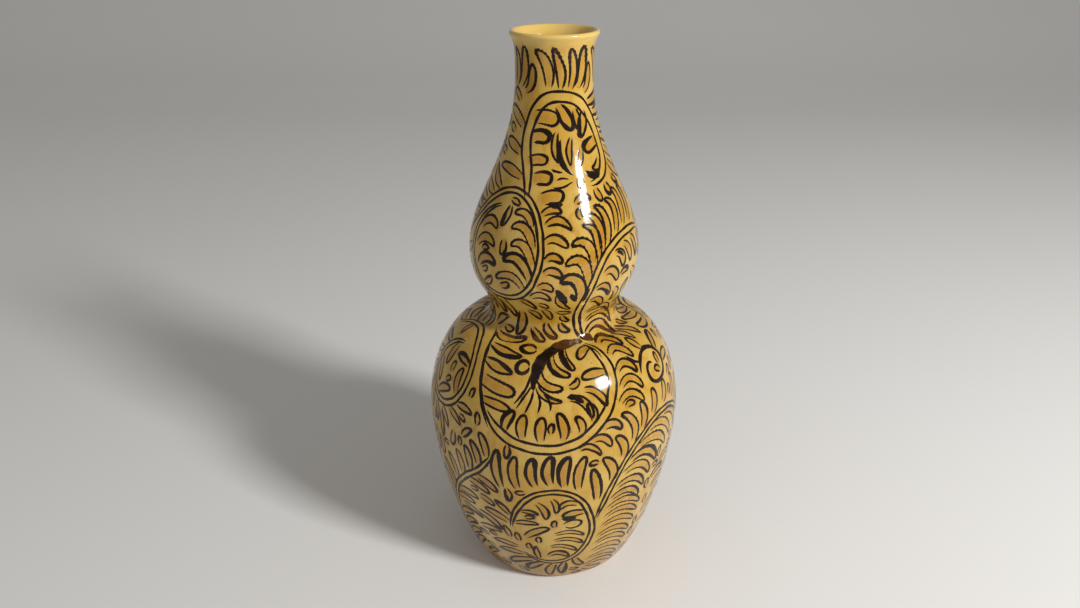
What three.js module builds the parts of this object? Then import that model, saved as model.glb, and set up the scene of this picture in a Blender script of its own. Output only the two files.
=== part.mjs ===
// A hand thrown bottle vase in the double gourd form, in millimetres with +Z up.
// The origin is on the table, at the centre of the foot.
//
// The pot is thrown in three sections: a round lower bulb, a smaller upper bulb and
// a slim neck with a flared lip. The sections are stacked and joined with bands of
// soft clay, a turned foot ring goes underneath, and two coats of glaze, one outside
// and one poured inside, meet on the crest of the lip.
//
// Every piece is turned, so each one is a closed section swept round the axis. All
// the sections are cut out of one wall. It lies between the outer outline and an
// inner line that follows the outline at the thickness of the wall.

import * as THREE from "three";

// Outer outline. Each rise is counted from the ring named before it.
const FOOT_RADIUS = 38.2;
const FOOT_LEAN = 0.63; // millimetres outwards for each millimetre up, at the foot
const BELLY_RADIUS = 58.7;
const BELLY_HEIGHT = 80.5; // from the table up to the widest ring
const SHOULDER_RISE = 43.5; // from the belly up to the crease below the waist
const WAIST_RADIUS = 28.5;
const WAIST_FILLET = 5.2; // hollow radius that leads from the crease into the waist
const BULB_RADIUS = 37.5;
const BULB_RISE = 27; // from the waist joint up to the upper bulb's widest ring
const NECK_RADIUS = 16;
const NECK_RISE = 75; // from there up to the slimmest ring of the neck
const LIP_RADIUS = 18.3;
const LIP_RISE = 15.6; // from there up to the centre of the lip's round edge
const LIP_ROLL = 1.1; // radius of the round edge, so the lip is twice as thick
const LIP_FLARE = THREE.MathUtils.degToRad(35); // lean of the wall where the round edge starts

// How long each curve keeps the direction of its ends, as a share of its own rise or reach.
const BODY_FULLNESS = { start: 0.23, end: 0.27 };
const SHOULDER_FULLNESS = { start: 0.58, end: 0.49 };
const BULB_FULLNESS = { start: 0.29, end: 0.61 };
const THROAT_FULLNESS = { start: 0.3, end: 0.45 };
const MOUTH_FULLNESS = { start: 0.5, end: 0.21 };

// Walls, each counted across the clay and both coats of glaze.
const BODY_WALL = 5.4;
const BULB_WALL = 4.6;
const NECK_WALL = 3.9;
const FLOOR_THICKNESS = 6;
const FLOOR_CURVE = 12; // height over which the inside wall turns into the floor

// Foot ring, joints and glaze.
const FOOT_RING_HEIGHT = 6;
const FOOT_RING_WIDTH = 7;
const FOOT_BEVEL = 1.2;
const NECK_JOINT_RISE = 40; // from the upper bulb's widest ring up to the neck joint
const LUTE = 1.5; // thickness of the band of soft clay in a joint
const GLAZE = 0.4;
const GLAZE_LINE = 3; // the outer coat stops this far above the table
const SEAT = 0.3; // clearance between pieces that were pressed or fired together

// Fineness: steps round the axis, and steps along each stretch of the outline.
const SEGMENTS = 36;
const STEPS = { body: 5, shoulder: 6, fillet: 2, bulb: 5, throat: 6, mouth: 4, roll: 4, floor: 3 };

const CLAY = { color: 0xb98a5c, roughness: 0.85, metalness: 0 };
const SLIP = { color: 0xa87a4e, roughness: 0.9, metalness: 0 };
const GLAZED = { color: 0xcfa23a, roughness: 0.15, metalness: 0 };

const point = (radius, height) => new THREE.Vector2(radius, height);

// Heights that follow from the rises.
const creaseHeight = BELLY_HEIGHT + SHOULDER_RISE;
const jointBand = SEAT + LUTE + SEAT;
const waistJoint = creaseHeight + WAIST_FILLET;
const waistTop = waistJoint + jointBand;
const bulbHeight = waistTop + BULB_RISE;
const neckJoint = bulbHeight + NECK_JOINT_RISE;
const neckHeight = bulbHeight + NECK_RISE;
const rollCentre = point(LIP_RADIUS - LIP_ROLL, neckHeight + LIP_RISE);
const baseHeight = FOOT_RING_HEIGHT + SEAT;
const floorTop = baseHeight + FLOOR_THICKNESS;

// One stretch of outline. It leaves and arrives in the given directions and keeps
// each of them for its share of the way between the two points.
function stretch(from, leaving, to, arriving, fullness) {
  const way = (direction) => {
    const flat = Math.abs(direction.x) > Math.abs(direction.y);
    return flat ? (to.x - from.x) / direction.x : (to.y - from.y) / direction.y;
  };
  const first = from.clone().addScaledVector(leaving, way(leaving) * fullness.start);
  const second = to.clone().addScaledVector(arriving, -way(arriving) * fullness.end);
  return new THREE.CubicBezierCurve(from, first, second, to);
}

// Points along curves that follow on from each other, each with its number of steps.
function trace(curves) {
  return curves.flatMap(([curve, steps], i) => curve.getPoints(steps).slice(i ? 1 : 0));
}

// The line moved to the left of its direction of travel, by a distance that may
// depend on the point. Each step of the new line is parallel to the old one.
function parallel(line, distanceAt) {
  const normals = line.slice(1).map((p, i) => point(line[i].y - p.y, p.x - line[i].x).normalize());
  return line.map((p, i) => {
    const before = normals[Math.max(i - 1, 0)];
    const after = normals[Math.min(i, normals.length - 1)];
    const mitre = before.clone().add(after).divideScalar(1 + before.dot(after));
    return p.clone().addScaledVector(mitre, distanceAt(p));
  });
}

const moved = (line, distance) => parallel(line, () => distance);

// The part of a line above a height, with its lower end cut level. The line may only
// fall below the height once, at its start.
function above(line, height) {
  const first = line.findIndex((p) => p.y > height);
  const [a, b] = [line[first - 1], line[first]];
  const cut = point(THREE.MathUtils.mapLinear(height, a.y, b.y, a.x, b.x), height);
  return [cut, ...line.slice(first)];
}

// The part of a line below a height, with its upper end cut level.
function below(line, height) {
  const kept = line.slice(0, line.findIndex((p) => p.y > height));
  return [...kept, above(line, height)[0]];
}

// A closed section between two lines that both run upwards.
const enclosed = (outside, inside) => [...outside, ...[...inside].reverse()];

// Thickness of the whole wall, which thins evenly from ring to ring.
function wallAt({ y }) {
  const rings = [
    { height: waistTop, wall: BODY_WALL },
    { height: bulbHeight, wall: BULB_WALL },
    { height: neckHeight, wall: NECK_WALL },
    { height: rollCentre.y, wall: 2 * LIP_ROLL },
  ];
  const next = rings.findIndex(({ height }) => y < height);
  if (next === 0) return BODY_WALL;
  if (next < 0) return 2 * LIP_ROLL;
  const [low, high] = [rings[next - 1], rings[next]];
  return THREE.MathUtils.mapLinear(y, low.height, high.height, low.wall, high.wall);
}

// The outer outline from the table up to the round edge of the lip.
function bodyOutline() {
  const up = point(0, 1);
  const inwards = point(-1, 0);
  const foot = point(FOOT_RADIUS, 0);
  const belly = point(BELLY_RADIUS, BELLY_HEIGHT);
  const crease = point(WAIST_RADIUS + WAIST_FILLET, creaseHeight);
  const hollow = new THREE.ArcCurve(crease.x, waistJoint, WAIST_FILLET, -Math.PI / 2, -Math.PI, true);
  const joint = point(WAIST_RADIUS, waistJoint);
  const waist = point(WAIST_RADIUS, waistTop);
  const bulb = point(BULB_RADIUS, bulbHeight);
  const neck = point(NECK_RADIUS, neckHeight);
  const flare = point(Math.sin(LIP_FLARE), Math.cos(LIP_FLARE));
  const lip = rollCentre.clone().addScaledVector(point(flare.y, -flare.x), LIP_ROLL);
  return trace([
    [stretch(foot, point(FOOT_LEAN, 1), belly, up, BODY_FULLNESS), STEPS.body],
    [stretch(belly, up, crease, inwards, SHOULDER_FULLNESS), STEPS.shoulder],
    [hollow, STEPS.fillet],
    [new THREE.LineCurve(joint, waist), 1],
    [stretch(waist, up, bulb, up, BULB_FULLNESS), STEPS.bulb],
    [stretch(bulb, up, neck, up, THROAT_FULLNESS), STEPS.throat],
    [stretch(neck, up, lip, flare, MOUTH_FULLNESS), STEPS.mouth],
  ]);
}

// The lip's round edge from one angle to another.
function roll(from, to) {
  const round = new THREE.ArcCurve(rollCentre.x, rollCentre.y, LIP_ROLL, from, to, from > to);
  return round.getPoints(STEPS.roll);
}

// The inner line, from the middle of the floor up to the crest of the lip. It stops
// short of the crest by the clearance that the two coats of glaze keep there.
const CREST = Math.PI / 2;
const INNER_END = CREST + SEAT / LIP_ROLL;
function innerLine(body) {
  const wall = parallel(body, wallAt).filter((p) => p.y > floorTop + FLOOR_CURVE);
  const down = wall[0].clone().sub(wall[1]).normalize();
  const edge = point(wall[0].x - FLOOR_CURVE, floorTop);
  const floorEnd = edge.clone().add(point(FLOOR_CURVE / 2, 0));
  const wallEnd = wall[0].clone().addScaledVector(down, FLOOR_CURVE / 2);
  const turn = new THREE.CubicBezierCurve(edge, floorEnd, wallEnd, wall[0]);
  const crest = roll(Math.PI - LIP_FLARE, INNER_END);
  return [point(0, floorTop), ...turn.getPoints(STEPS.floor), ...wall.slice(1), ...crest.slice(1)];
}

const body = bodyOutline();
const outline = [...body, ...roll(-LIP_FLARE, CREST).slice(1)];
const inner = innerLine(body);

// Both lines end on the lip's round edge. They are moved inwards as if they went on
// round it, each as far as the end of the other, so that their ends stay apart.
const outlineAt = (depth) => moved([...outline, roll(INNER_END, CREST)[0]], depth).slice(0, -1);
const innerAt = (depth) => moved([...inner, roll(CREST, INNER_END)[0]], -depth).slice(0, -1);

const clayOutside = outlineAt(GLAZE + SEAT);
const clayInside = innerAt(GLAZE + SEAT);

// A solid of revolution about +Z. The section is closed and runs anticlockwise, with
// the radius to the right and the height upwards.
function turned(name, section, look) {
  const geometry = new THREE.LatheGeometry([...section, section[0]], SEGMENTS);
  geometry.rotateX(Math.PI / 2);
  const mesh = new THREE.Mesh(geometry, new THREE.MeshStandardMaterial(look));
  mesh.name = name;
  return mesh;
}

// A level slice of the clay wall.
function clayRing(low, high) {
  return enclosed(above(below(clayOutside, high), low), above(below(clayInside, high), low));
}

// The foot ring stands on a level face whose two edges are bevelled.
function footRing() {
  const outside = above(below(clayOutside, FOOT_RING_HEIGHT), FOOT_BEVEL);
  const bore = clayOutside[0].x - FOOT_RING_WIDTH;
  return [
    point(bore + FOOT_BEVEL, 0),
    point(outside[0].x - FOOT_BEVEL, 0),
    ...outside,
    point(bore, FOOT_RING_HEIGHT),
    point(bore, FOOT_BEVEL),
  ];
}

// The lower bulb has floor and wall in one piece and is open at the waist.
function lowerBulb() {
  const outside = above(below(clayOutside, waistJoint), baseHeight);
  return [point(0, baseHeight), ...enclosed(outside, below(clayInside, waistJoint))];
}

// The neck goes from its joint up and over the flared lip.
function neckWall() {
  const low = neckJoint + jointBand;
  return enclosed(above(clayOutside, low), above(clayInside, low));
}

// The outer coat ends in a level edge above the foot, which stays bare.
function outerCoat() {
  return enclosed(above(outline, GLAZE_LINE), above(outlineAt(GLAZE), GLAZE_LINE));
}

const clay = new THREE.Group();
clay.add(
  turned("foot_ring", footRing(), CLAY),
  turned("lower_bulb", lowerBulb(), CLAY),
  turned("waist_lute", clayRing(waistJoint + SEAT, waistTop - SEAT), SLIP),
  turned("upper_bulb", clayRing(waistTop, neckJoint), CLAY),
  turned("neck_lute", clayRing(neckJoint + SEAT, neckJoint + SEAT + LUTE), SLIP),
  turned("neck", neckWall(), CLAY),
);

const glaze = new THREE.Group();
glaze.add(
  turned("outer_glaze", outerCoat(), GLAZED),
  turned("inner_glaze", enclosed(innerAt(GLAZE), inner), GLAZED),
);

const vase = new THREE.Group();
vase.add(clay, glaze);

export default vase;
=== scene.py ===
"""A hand thrown double gourd bottle vase, glazed amber and brushed all over with scrolls and leaves.

The pot stands on a pale studio floor. Everything is in metres with +Z up and the origin on the
floor at the centre of the foot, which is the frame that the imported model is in.
"""

import logging
import math
import random
from collections import defaultdict
from collections.abc import Callable, Sequence
from dataclasses import dataclass
from enum import Enum

import bmesh
import bpy
import numpy as np
from mathutils import Matrix, Vector
from mathutils.geometry import interpolate_bezier
from mathutils.kdtree import KDTree


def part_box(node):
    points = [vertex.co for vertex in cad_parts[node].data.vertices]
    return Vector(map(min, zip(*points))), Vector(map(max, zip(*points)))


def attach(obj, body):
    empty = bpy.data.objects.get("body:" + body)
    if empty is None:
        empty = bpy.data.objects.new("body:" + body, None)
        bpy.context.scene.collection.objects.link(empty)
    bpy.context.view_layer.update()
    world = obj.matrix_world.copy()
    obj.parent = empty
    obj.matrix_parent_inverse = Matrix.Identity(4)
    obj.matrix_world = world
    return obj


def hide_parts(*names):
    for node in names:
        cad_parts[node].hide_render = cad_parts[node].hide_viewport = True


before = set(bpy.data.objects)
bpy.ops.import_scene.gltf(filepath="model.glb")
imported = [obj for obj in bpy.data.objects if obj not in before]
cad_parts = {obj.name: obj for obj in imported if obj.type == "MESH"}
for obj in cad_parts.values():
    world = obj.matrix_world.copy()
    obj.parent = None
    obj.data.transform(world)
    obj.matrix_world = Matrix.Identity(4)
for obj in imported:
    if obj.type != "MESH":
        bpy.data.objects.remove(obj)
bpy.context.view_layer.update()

MM = 0.001
HAIR = 0.01 * MM
WELD = 0.002 * MM
BODY = "root"
GLASS_INDEX = 1.52
MIX_INPUTS = (0, 6, 7)
MIX_RESULT = 2

log = logging.getLogger("vase")

Colour = tuple[float, float, float]
Section = list[Vector]
Spots = Sequence[tuple[float, float]]


def stretch(start: Vector, leaving: Vector, end: Vector, arriving: Vector, hold: tuple[float, float],
            steps: int) -> Section:
    """Traces one stretch of outline that keeps the direction of its ends for a share of its way.

    Args:
        start: first point, as radius and height.
        leaving: direction at the first point.
        end: last point.
        arriving: direction at the last point.
        hold: share of the rise or reach for which each end keeps its direction.
        steps: number of steps along the stretch.

    Returns:
        The points of the stretch, both ends included.
    """
    def way(direction: Vector) -> float:
        """Gives how far the direction has to be followed to get level with the far end."""
        axis = 0 if abs(direction.x) > abs(direction.y) else 1
        return (end - start)[axis] / direction[axis]

    first = start + leaving * way(leaving) * hold[0]
    second = end - arriving * way(arriving) * hold[1]
    return interpolate_bezier(start, first, second, end, steps + 1)


def arc(centre: Vector, radius: float, start: float, end: float, steps: int) -> Section:
    """Traces an arc between two angles in degrees, counted from straight outwards.

    Args:
        centre: middle of the arc, as radius and height.
        radius: radius of the arc.
        start: first angle.
        end: last angle.
        steps: number of steps.

    Returns:
        The points of the arc, both ends included.
    """
    angles = np.radians(np.linspace(start, end, steps + 1))
    return [centre + radius * Vector((math.cos(t), math.sin(t))) for t in angles]


def moved(line: Section, distance: float | Callable[[Vector], float]) -> Section:
    """Moves a line to the left of its direction of travel.

    Args:
        line: points that run upwards.
        distance: how far, or a function that gives it for a point.

    Returns:
        The moved points.
    """
    shift = distance if callable(distance) else (lambda _: distance)
    steps = [(b - a).normalized() for a, b in zip(line, line[1:])]
    result = []
    for i, point in enumerate(line):
        before = steps[max(i - 1, 0)]
        after = steps[min(i, len(steps) - 1)]
        mitre = (before + after).orthogonal() / (1 + before.dot(after))
        result.append(point + mitre * shift(point))
    return result


def between(line: Section, low: float, high: float) -> Section:
    """Cuts the part of an upward line between two heights, with both ends level.

    Args:
        line: points that run upwards.
        low: height of the lower cut.
        high: height of the upper cut.

    Returns:
        The points of the part.
    """
    heights = [p.y for p in line]
    radii = [p.x for p in line]
    ends = [Vector((float(np.interp(cut, heights, radii)), cut)) for cut in (low, high)]
    return [ends[0], *(p for p in line if low < p.y < high), ends[1]]


def thinned(line: Section, every: int) -> Section:
    """Keeps every so many points of a line, and its last one."""
    return [*line[:-1:every], line[-1]]


@dataclass(frozen=True)
class Outline:
    """The pot's outline and walls, from the foot to the flared lip.

    Each hold says for what share of a stretch its lower and its upper end keep their direction.
    """

    foot_radius: float = 38.2 * MM
    foot_lean: float = 0.63
    belly_radius: float = 58.7 * MM
    belly_height: float = 80.5 * MM
    shoulder_rise: float = 43.5 * MM
    waist_radius: float = 28.5 * MM
    waist_fillet: float = 5.2 * MM
    bulb_radius: float = 37.5 * MM
    bulb_rise: float = 27 * MM
    neck_radius: float = 16 * MM
    neck_rise: float = 75 * MM
    lip_radius: float = 18.3 * MM
    lip_rise: float = 15.6 * MM
    lip_roll: float = 1.1 * MM
    lip_flare: float = 35
    crest_end: float = 101
    crest_overlap: float = 16
    foot_hold: tuple[float, float] = (0.23, 0.27)
    shoulder_hold: tuple[float, float] = (0.58, 0.49)
    bulb_hold: tuple[float, float] = (0.29, 0.61)
    neck_hold: tuple[float, float] = (0.3, 0.45)
    lip_hold: tuple[float, float] = (0.5, 0.21)
    body_wall: float = 5.4 * MM
    bulb_wall: float = 4.6 * MM
    neck_wall: float = 3.9 * MM
    floor_height: float = 12.3 * MM
    floor_curve: float = 12 * MM
    joint_band: float = 2.1 * MM
    steps: int = 40
    crest_steps: int = 6
    floor_steps: int = 8

    @property
    def waist_joint(self) -> float:
        """Height of the joint between the lower bulb and the waist."""
        return self.belly_height + self.shoulder_rise + self.waist_fillet

    @property
    def bulb_height(self) -> float:
        """Height of the upper bulb's widest ring."""
        return self.waist_joint + self.joint_band + self.bulb_rise

    @property
    def neck_height(self) -> float:
        """Height of the slimmest ring of the neck."""
        return self.bulb_height + self.neck_rise

    @property
    def roll_centre(self) -> Vector:
        """Middle of the lip's roll, as radius and height."""
        return Vector((self.lip_radius - self.lip_roll, self.neck_height + self.lip_rise))

    def outside(self) -> Section:
        """Traces the wall from the table up to the crest of the lip.

        Returns:
            The points of the outer line, about a millimetre apart.
        """
        up = Vector((0, 1))
        inwards = Vector((-1, 0))
        belly = Vector((self.belly_radius, self.belly_height))
        hollow = Vector((self.waist_radius + self.waist_fillet, self.waist_joint))
        crease = hollow - up * self.waist_fillet
        waist = Vector((self.waist_radius, self.waist_joint + self.joint_band))
        bulb = Vector((self.bulb_radius, self.bulb_height))
        neck = Vector((self.neck_radius, self.neck_height))
        flare = math.radians(self.lip_flare)
        leaving = Vector((math.sin(flare), math.cos(flare)))
        roll = arc(self.roll_centre, self.lip_roll, -self.lip_flare, 90, self.steps // 4)
        foot = Vector((self.foot_radius, 0))
        lean = Vector((self.foot_lean, 1))
        stretches = [
            stretch(foot, lean, belly, up, self.foot_hold, 2 * self.steps),
            stretch(belly, up, crease, inwards, self.shoulder_hold, self.steps * 3 // 2),
            arc(hollow, self.waist_fillet, -90, -180, self.steps // 4),
            stretch(waist, up, bulb, up, self.bulb_hold, self.steps * 3 // 4),
            stretch(bulb, up, neck, up, self.neck_hold, 2 * self.steps),
            stretch(neck, up, roll[0], leaving, self.lip_hold, self.steps // 2),
            roll[1:],
        ]
        line = [stretches[0][0]]
        for part in stretches:
            line += [p for p in part if (p - line[-1]).length > HAIR]
        return line

    def wall(self, point: Vector) -> float:
        """Gives the thickness of the whole wall at a point of the outline."""
        rings = [self.waist_joint + self.joint_band, self.bulb_height, self.neck_height, self.roll_centre.y]
        walls = [self.body_wall, self.bulb_wall, self.neck_wall, 2 * self.lip_roll]
        return float(np.interp(point.y, rings, walls))

    def crest(self) -> Section:
        """Traces the lip's crest from its highest point to past the end of the inner coat."""
        end = self.crest_end + self.crest_overlap
        return arc(self.roll_centre, self.lip_roll, 90, end, self.crest_steps)

    def inside(self) -> Section:
        """Traces the hollow from the middle of the floor up to the crest of the lip.

        Returns:
            The points of the inner line.
        """
        roll_start = self.roll_centre.y - self.lip_roll * math.sin(math.radians(self.lip_flare))
        body = [p for p in self.outside() if p.y < roll_start + HAIR]
        wall = [p for p in moved(body, self.wall) if p.y > self.floor_height + self.floor_curve]
        edge = Vector((wall[0].x - self.floor_curve, self.floor_height))
        half = self.floor_curve / 2
        down = (wall[0] - wall[1]).normalized()
        level = Vector((half, 0))
        turn = interpolate_bezier(edge, edge + level, wall[0] + down * half, wall[0], self.steps // 3)
        crest = arc(self.roll_centre, self.lip_roll, 180 - self.lip_flare, self.crest_end, self.steps // 5)
        floor = [Vector((edge.x * i / self.floor_steps, self.floor_height))
                 for i in range(self.floor_steps)]
        return [*floor, *turn, *wall[1:], *crest[1:]]


def ridden(piece: bpy.types.Object, nodes: Sequence[str] = ()) -> bpy.types.Object:
    """Ties a finished piece to the pot's body and hides the nodes that it stands for."""
    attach(piece, BODY)
    if nodes:
        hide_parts(*nodes)
    return piece


def shown(name: str, mesh_data: bmesh.types.BMesh, material: bpy.types.Material,
          sharp: float = math.radians(40)) -> bpy.types.Object:
    """Puts a finished bmesh into the scene as a smooth object at the origin.

    Args:
        name: the piece's name.
        mesh_data: the shape, which is freed.
        material: the piece's finish.
        sharp: edges that turn by more than this stay crisp.

    Returns:
        The new object.
    """
    mesh = bpy.data.meshes.new(name)
    for face in mesh_data.faces:
        face.smooth = True
    mesh_data.to_mesh(mesh)
    mesh_data.free()
    mesh.set_sharp_from_angle(angle=sharp)
    mesh.materials.append(material)
    piece = bpy.data.objects.new(name, mesh)
    bpy.context.scene.collection.objects.link(piece)
    return piece


def turned(section: Section, segments: int) -> bmesh.types.BMesh:
    """Turns a closed section round the axis, as on a wheel.

    A grid is bent round the axis, a row for each step, and welded where its ends meet.

    Args:
        section: points as radius and height, in order round the section.
        segments: steps round the axis.

    Returns:
        The closed solid.
    """
    made = bmesh.new()
    grid = bmesh.ops.create_grid(made, x_segments=len(section), y_segments=segments, size=1)
    verts = iter(grid["verts"])
    for i in range(segments + 1):
        turn = math.tau * i / segments
        for point in (*section, section[0]):
            next(verts).co = (point.x * math.cos(turn), point.x * math.sin(turn), point.y)
    bmesh.ops.remove_doubles(made, verts=made.verts, dist=WELD)
    loose = [e for e in made.edges if not e.link_faces]
    bmesh.ops.delete(made, geom=loose, context="EDGES")
    bmesh.ops.recalc_face_normals(made, faces=made.faces)
    return made


class Recipe:
    """A material that is put together node by node."""

    def __init__(self, name: str) -> None:
        """Starts a material with one surface shader."""
        self.material = bpy.data.materials.new(name)
        self.material.use_nodes = True
        self.tree = self.material.node_tree
        self.shader = self.tree.nodes["Principled BSDF"]

    def node(self, kind: str, settings: dict[str, object] | None = None,
             **inputs: object) -> bpy.types.Node:
        """Adds a node and fills its inputs.

        Args:
            kind: the node's type.
            settings: properties of the node.
            **inputs: values or sockets by input name, with _ for a space.

        Returns:
            The new node.
        """
        node = self.tree.nodes.new(kind)
        for name, value in (settings or {}).items():
            setattr(node, name, value)
        for name, value in inputs.items():
            self.feed(node.inputs[name.replace("_", " ")], value)
        return node

    def feed(self, socket: bpy.types.NodeSocket, value: object) -> None:
        """Links a socket to another one, or sets its value."""
        if isinstance(value, bpy.types.NodeSocket):
            self.tree.links.new(value, socket)
        else:
            socket.default_value = value

    def finish(self, **inputs: object) -> bpy.types.Material:
        """Fills the shader's inputs and gives the material."""
        for name, value in inputs.items():
            self.feed(self.shader.inputs[name.replace("_", " ")], value)
        return self.material

    def place(self, stretch_by: Colour = (1, 1, 1)) -> bpy.types.NodeSocket:
        """Gives the object's own coordinates, stretched along its axes."""
        where = self.node("ShaderNodeTexCoord").outputs["Object"]
        return self.node("ShaderNodeMapping", Vector=where, Scale=stretch_by).outputs["Vector"]

    def noise(self, size: float, detail: float, rough: float,
              stretch_by: Colour = (1, 1, 1)) -> bpy.types.NodeSocket:
        """Gives a cloudy pattern whose patches are about so many metres wide."""
        made = self.node("ShaderNodeTexNoise", Vector=self.place(stretch_by), Scale=1 / size,
                         Detail=detail, Roughness=rough)
        return made.outputs["Fac"]

    def remap(self, value: object, low: float, high: float, to_low: float = 0,
              to_high: float = 1) -> bpy.types.NodeSocket:
        """Carries a range of values over to another one, and clamps it there."""
        made = self.node("ShaderNodeMapRange", {"interpolation_type": "SMOOTHSTEP"}, Value=value)
        limits = {"From Min": low, "From Max": high, "To Min": to_low, "To Max": to_high}
        for name, number in limits.items():
            made.inputs[name].default_value = number
        return made.outputs["Result"]

    def maths(self, operation: str, first: object, second: object) -> bpy.types.NodeSocket:
        """Joins two values by an operation."""
        made = self.node("ShaderNodeMath", {"operation": operation})
        self.feed(made.inputs[0], first)
        self.feed(made.inputs[1], second)
        return made.outputs[0]

    def blend(self, factor: object, first: object, second: object) -> bpy.types.NodeSocket:
        """Mixes two colours."""
        made = self.node("ShaderNodeMix", {"data_type": "RGBA"})
        for index, value in zip(MIX_INPUTS, (factor, first, second)):
            if isinstance(value, tuple):
                value = (*value, 1)
            self.feed(made.inputs[index], value)
        return made.outputs[MIX_RESULT]

    def height(self) -> bpy.types.NodeSocket:
        """Gives the height above the floor."""
        return self.node("ShaderNodeSeparateXYZ", Vector=self.place()).outputs["Z"]

    def attribute(self, name: str) -> bpy.types.NodeSocket:
        """Gives a number that the mesh carries at its points."""
        return self.node("ShaderNodeAttribute", {"attribute_name": name}).outputs["Fac"]

    def bump(self, height: object, depth: float,
             under: bpy.types.NodeSocket | None = None) -> bpy.types.NodeSocket:
        """Turns a height pattern of so many metres into a bumpy normal."""
        made = self.node("ShaderNodeBump", Height=height, Strength=1.0, Distance=depth)
        if under:
            self.feed(made.inputs["Normal"], under)
        return made.outputs["Normal"]


@dataclass(frozen=True)
class AmberGlaze:
    """Glossy amber glaze, deeper in the painted leaves, paler towards the lip and darker towards the foot.
    """

    name: str = "amber_glaze"
    pale: Colour = (0.57, 0.375, 0.088)
    honey: Colour = (0.50, 0.29, 0.036)
    ochre: Colour = (0.40, 0.185, 0.010)
    deep: Colour = (0.24, 0.10, 0.007)
    lip: Colour = (0.74, 0.52, 0.15)
    speck: Colour = (0.16, 0.07, 0.01)
    cloud_size: float = 26 * MM
    streak_size: float = 5 * MM
    grain_size: float = 0.9 * MM
    speck_gap: float = 7 * MM
    wave_size: float = 9 * MM
    wave_depth: float = 0.05 * MM
    peel_size: float = 1.6 * MM
    peel_depth: float = 0.006 * MM
    gloss_size: float = 14 * MM
    roughness: tuple[float, float] = (0.07, 0.14)
    pale_below_lip: float = 6 * MM
    pale_above_lip: float = 1 * MM
    darker_from: float = 34 * MM
    darkest_at: float = 4 * MM

    def material(self, outline: Outline, washed: bool) -> bpy.types.Material:
        """Mixes the glaze.

        Args:
            outline: gives the heights where the glaze turns paler towards the lip and darker towards the
                foot.
            washed: whether the mesh carries the leaves' wash.

        Returns:
            The material.
        """
        made = Recipe(self.name + ("" if washed else "_inside"))
        clouds = made.noise(self.cloud_size, 4, 0.6)
        streaks = made.noise(self.streak_size, 3, 0.6, (1, 1, 0.35))
        grain = made.noise(self.grain_size, 2, 0.7)
        colour = made.blend(made.remap(clouds, 0.36, 0.62), self.honey, self.pale)
        colour = made.blend(made.remap(streaks, 0.5, 0.72, 0, 0.55), colour, self.ochre)
        if washed:
            wash = made.attribute("wash")
            uneven = made.maths("MULTIPLY", wash, made.remap(streaks, 0.3, 0.6, 0.55, 1))
            colour = made.blend(uneven, colour, self.ochre)
        colour = made.blend(made.remap(grain, 0.55, 0.75, 0, 0.4), colour, self.ochre)
        colour = made.blend(made.remap(grain, 0.42, 0.28, 0, 0.3), colour, self.pale)
        # Paler towards the top of the lip, set by height alone and the same all round the pot.
        lip = outline.roll_centre.y
        paling = made.remap(made.height(), lip - self.pale_below_lip, lip + self.pale_above_lip, 0, 0.8)
        colour = made.blend(paling, colour, self.lip)
        # Darker towards the foot, set by height alone and the same all round the pot.
        darker_low = made.remap(made.height(), self.darker_from, self.darkest_at, 0, 0.45)
        colour = made.blend(darker_low, colour, self.deep)
        dots = made.node("ShaderNodeTexVoronoi", {"feature": "F1"}, Vector=made.place(),
                         Scale=1 / self.speck_gap)
        specks = made.remap(dots.outputs["Distance"], 0.075, 0.04)
        colour = made.blend(made.maths("MULTIPLY", specks, 0.6), colour, self.speck)
        waves = made.bump(made.noise(self.wave_size, 2, 0.5), self.wave_depth)
        orange_peel = made.bump(made.noise(self.peel_size, 2, 0.5), self.peel_depth, waves)
        roughness = made.remap(made.noise(self.gloss_size, 4, 0.65), 0.3, 0.7, *self.roughness)
        return made.finish(Base_Color=colour, Roughness=roughness, IOR=GLASS_INDEX, Normal=orange_peel)


@dataclass(frozen=True)
class FiredClay:
    """Unglazed fired clay with turning marks and fine grit."""

    name: str = "fired_clay"
    body: Colour = (0.42, 0.235, 0.115)
    light: Colour = (0.55, 0.36, 0.20)
    dark: Colour = (0.22, 0.11, 0.05)
    patch_size: float = 18 * MM
    grit_size: float = 0.8 * MM
    grit_depth: float = 0.05 * MM
    ring_size: float = 1.4 * MM
    ring_depth: float = 0.12 * MM
    roughness: tuple[float, float] = (0.78, 0.92)

    def material(self) -> bpy.types.Material:
        """Mixes the clay."""
        made = Recipe(self.name)
        patches = made.noise(self.patch_size, 4, 0.6)
        grit = made.noise(self.grit_size, 3, 0.7)
        colour = made.blend(made.remap(patches, 0.35, 0.65), self.body, self.light)
        colour = made.blend(made.remap(grit, 0.6, 0.72, 0, 0.7), colour, self.dark)
        colour = made.blend(made.remap(grit, 0.36, 0.26, 0, 0.5), colour, self.light)
        rings = made.noise(self.ring_size, 2, 0.5, (0.04, 0.04, 1))
        turning = made.bump(rings, self.ring_depth)
        tooth = made.bump(grit, self.grit_depth, turning)
        roughness = made.remap(patches, 0.3, 0.7, *self.roughness)
        return made.finish(Base_Color=colour, Roughness=roughness, Normal=tooth)


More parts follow.
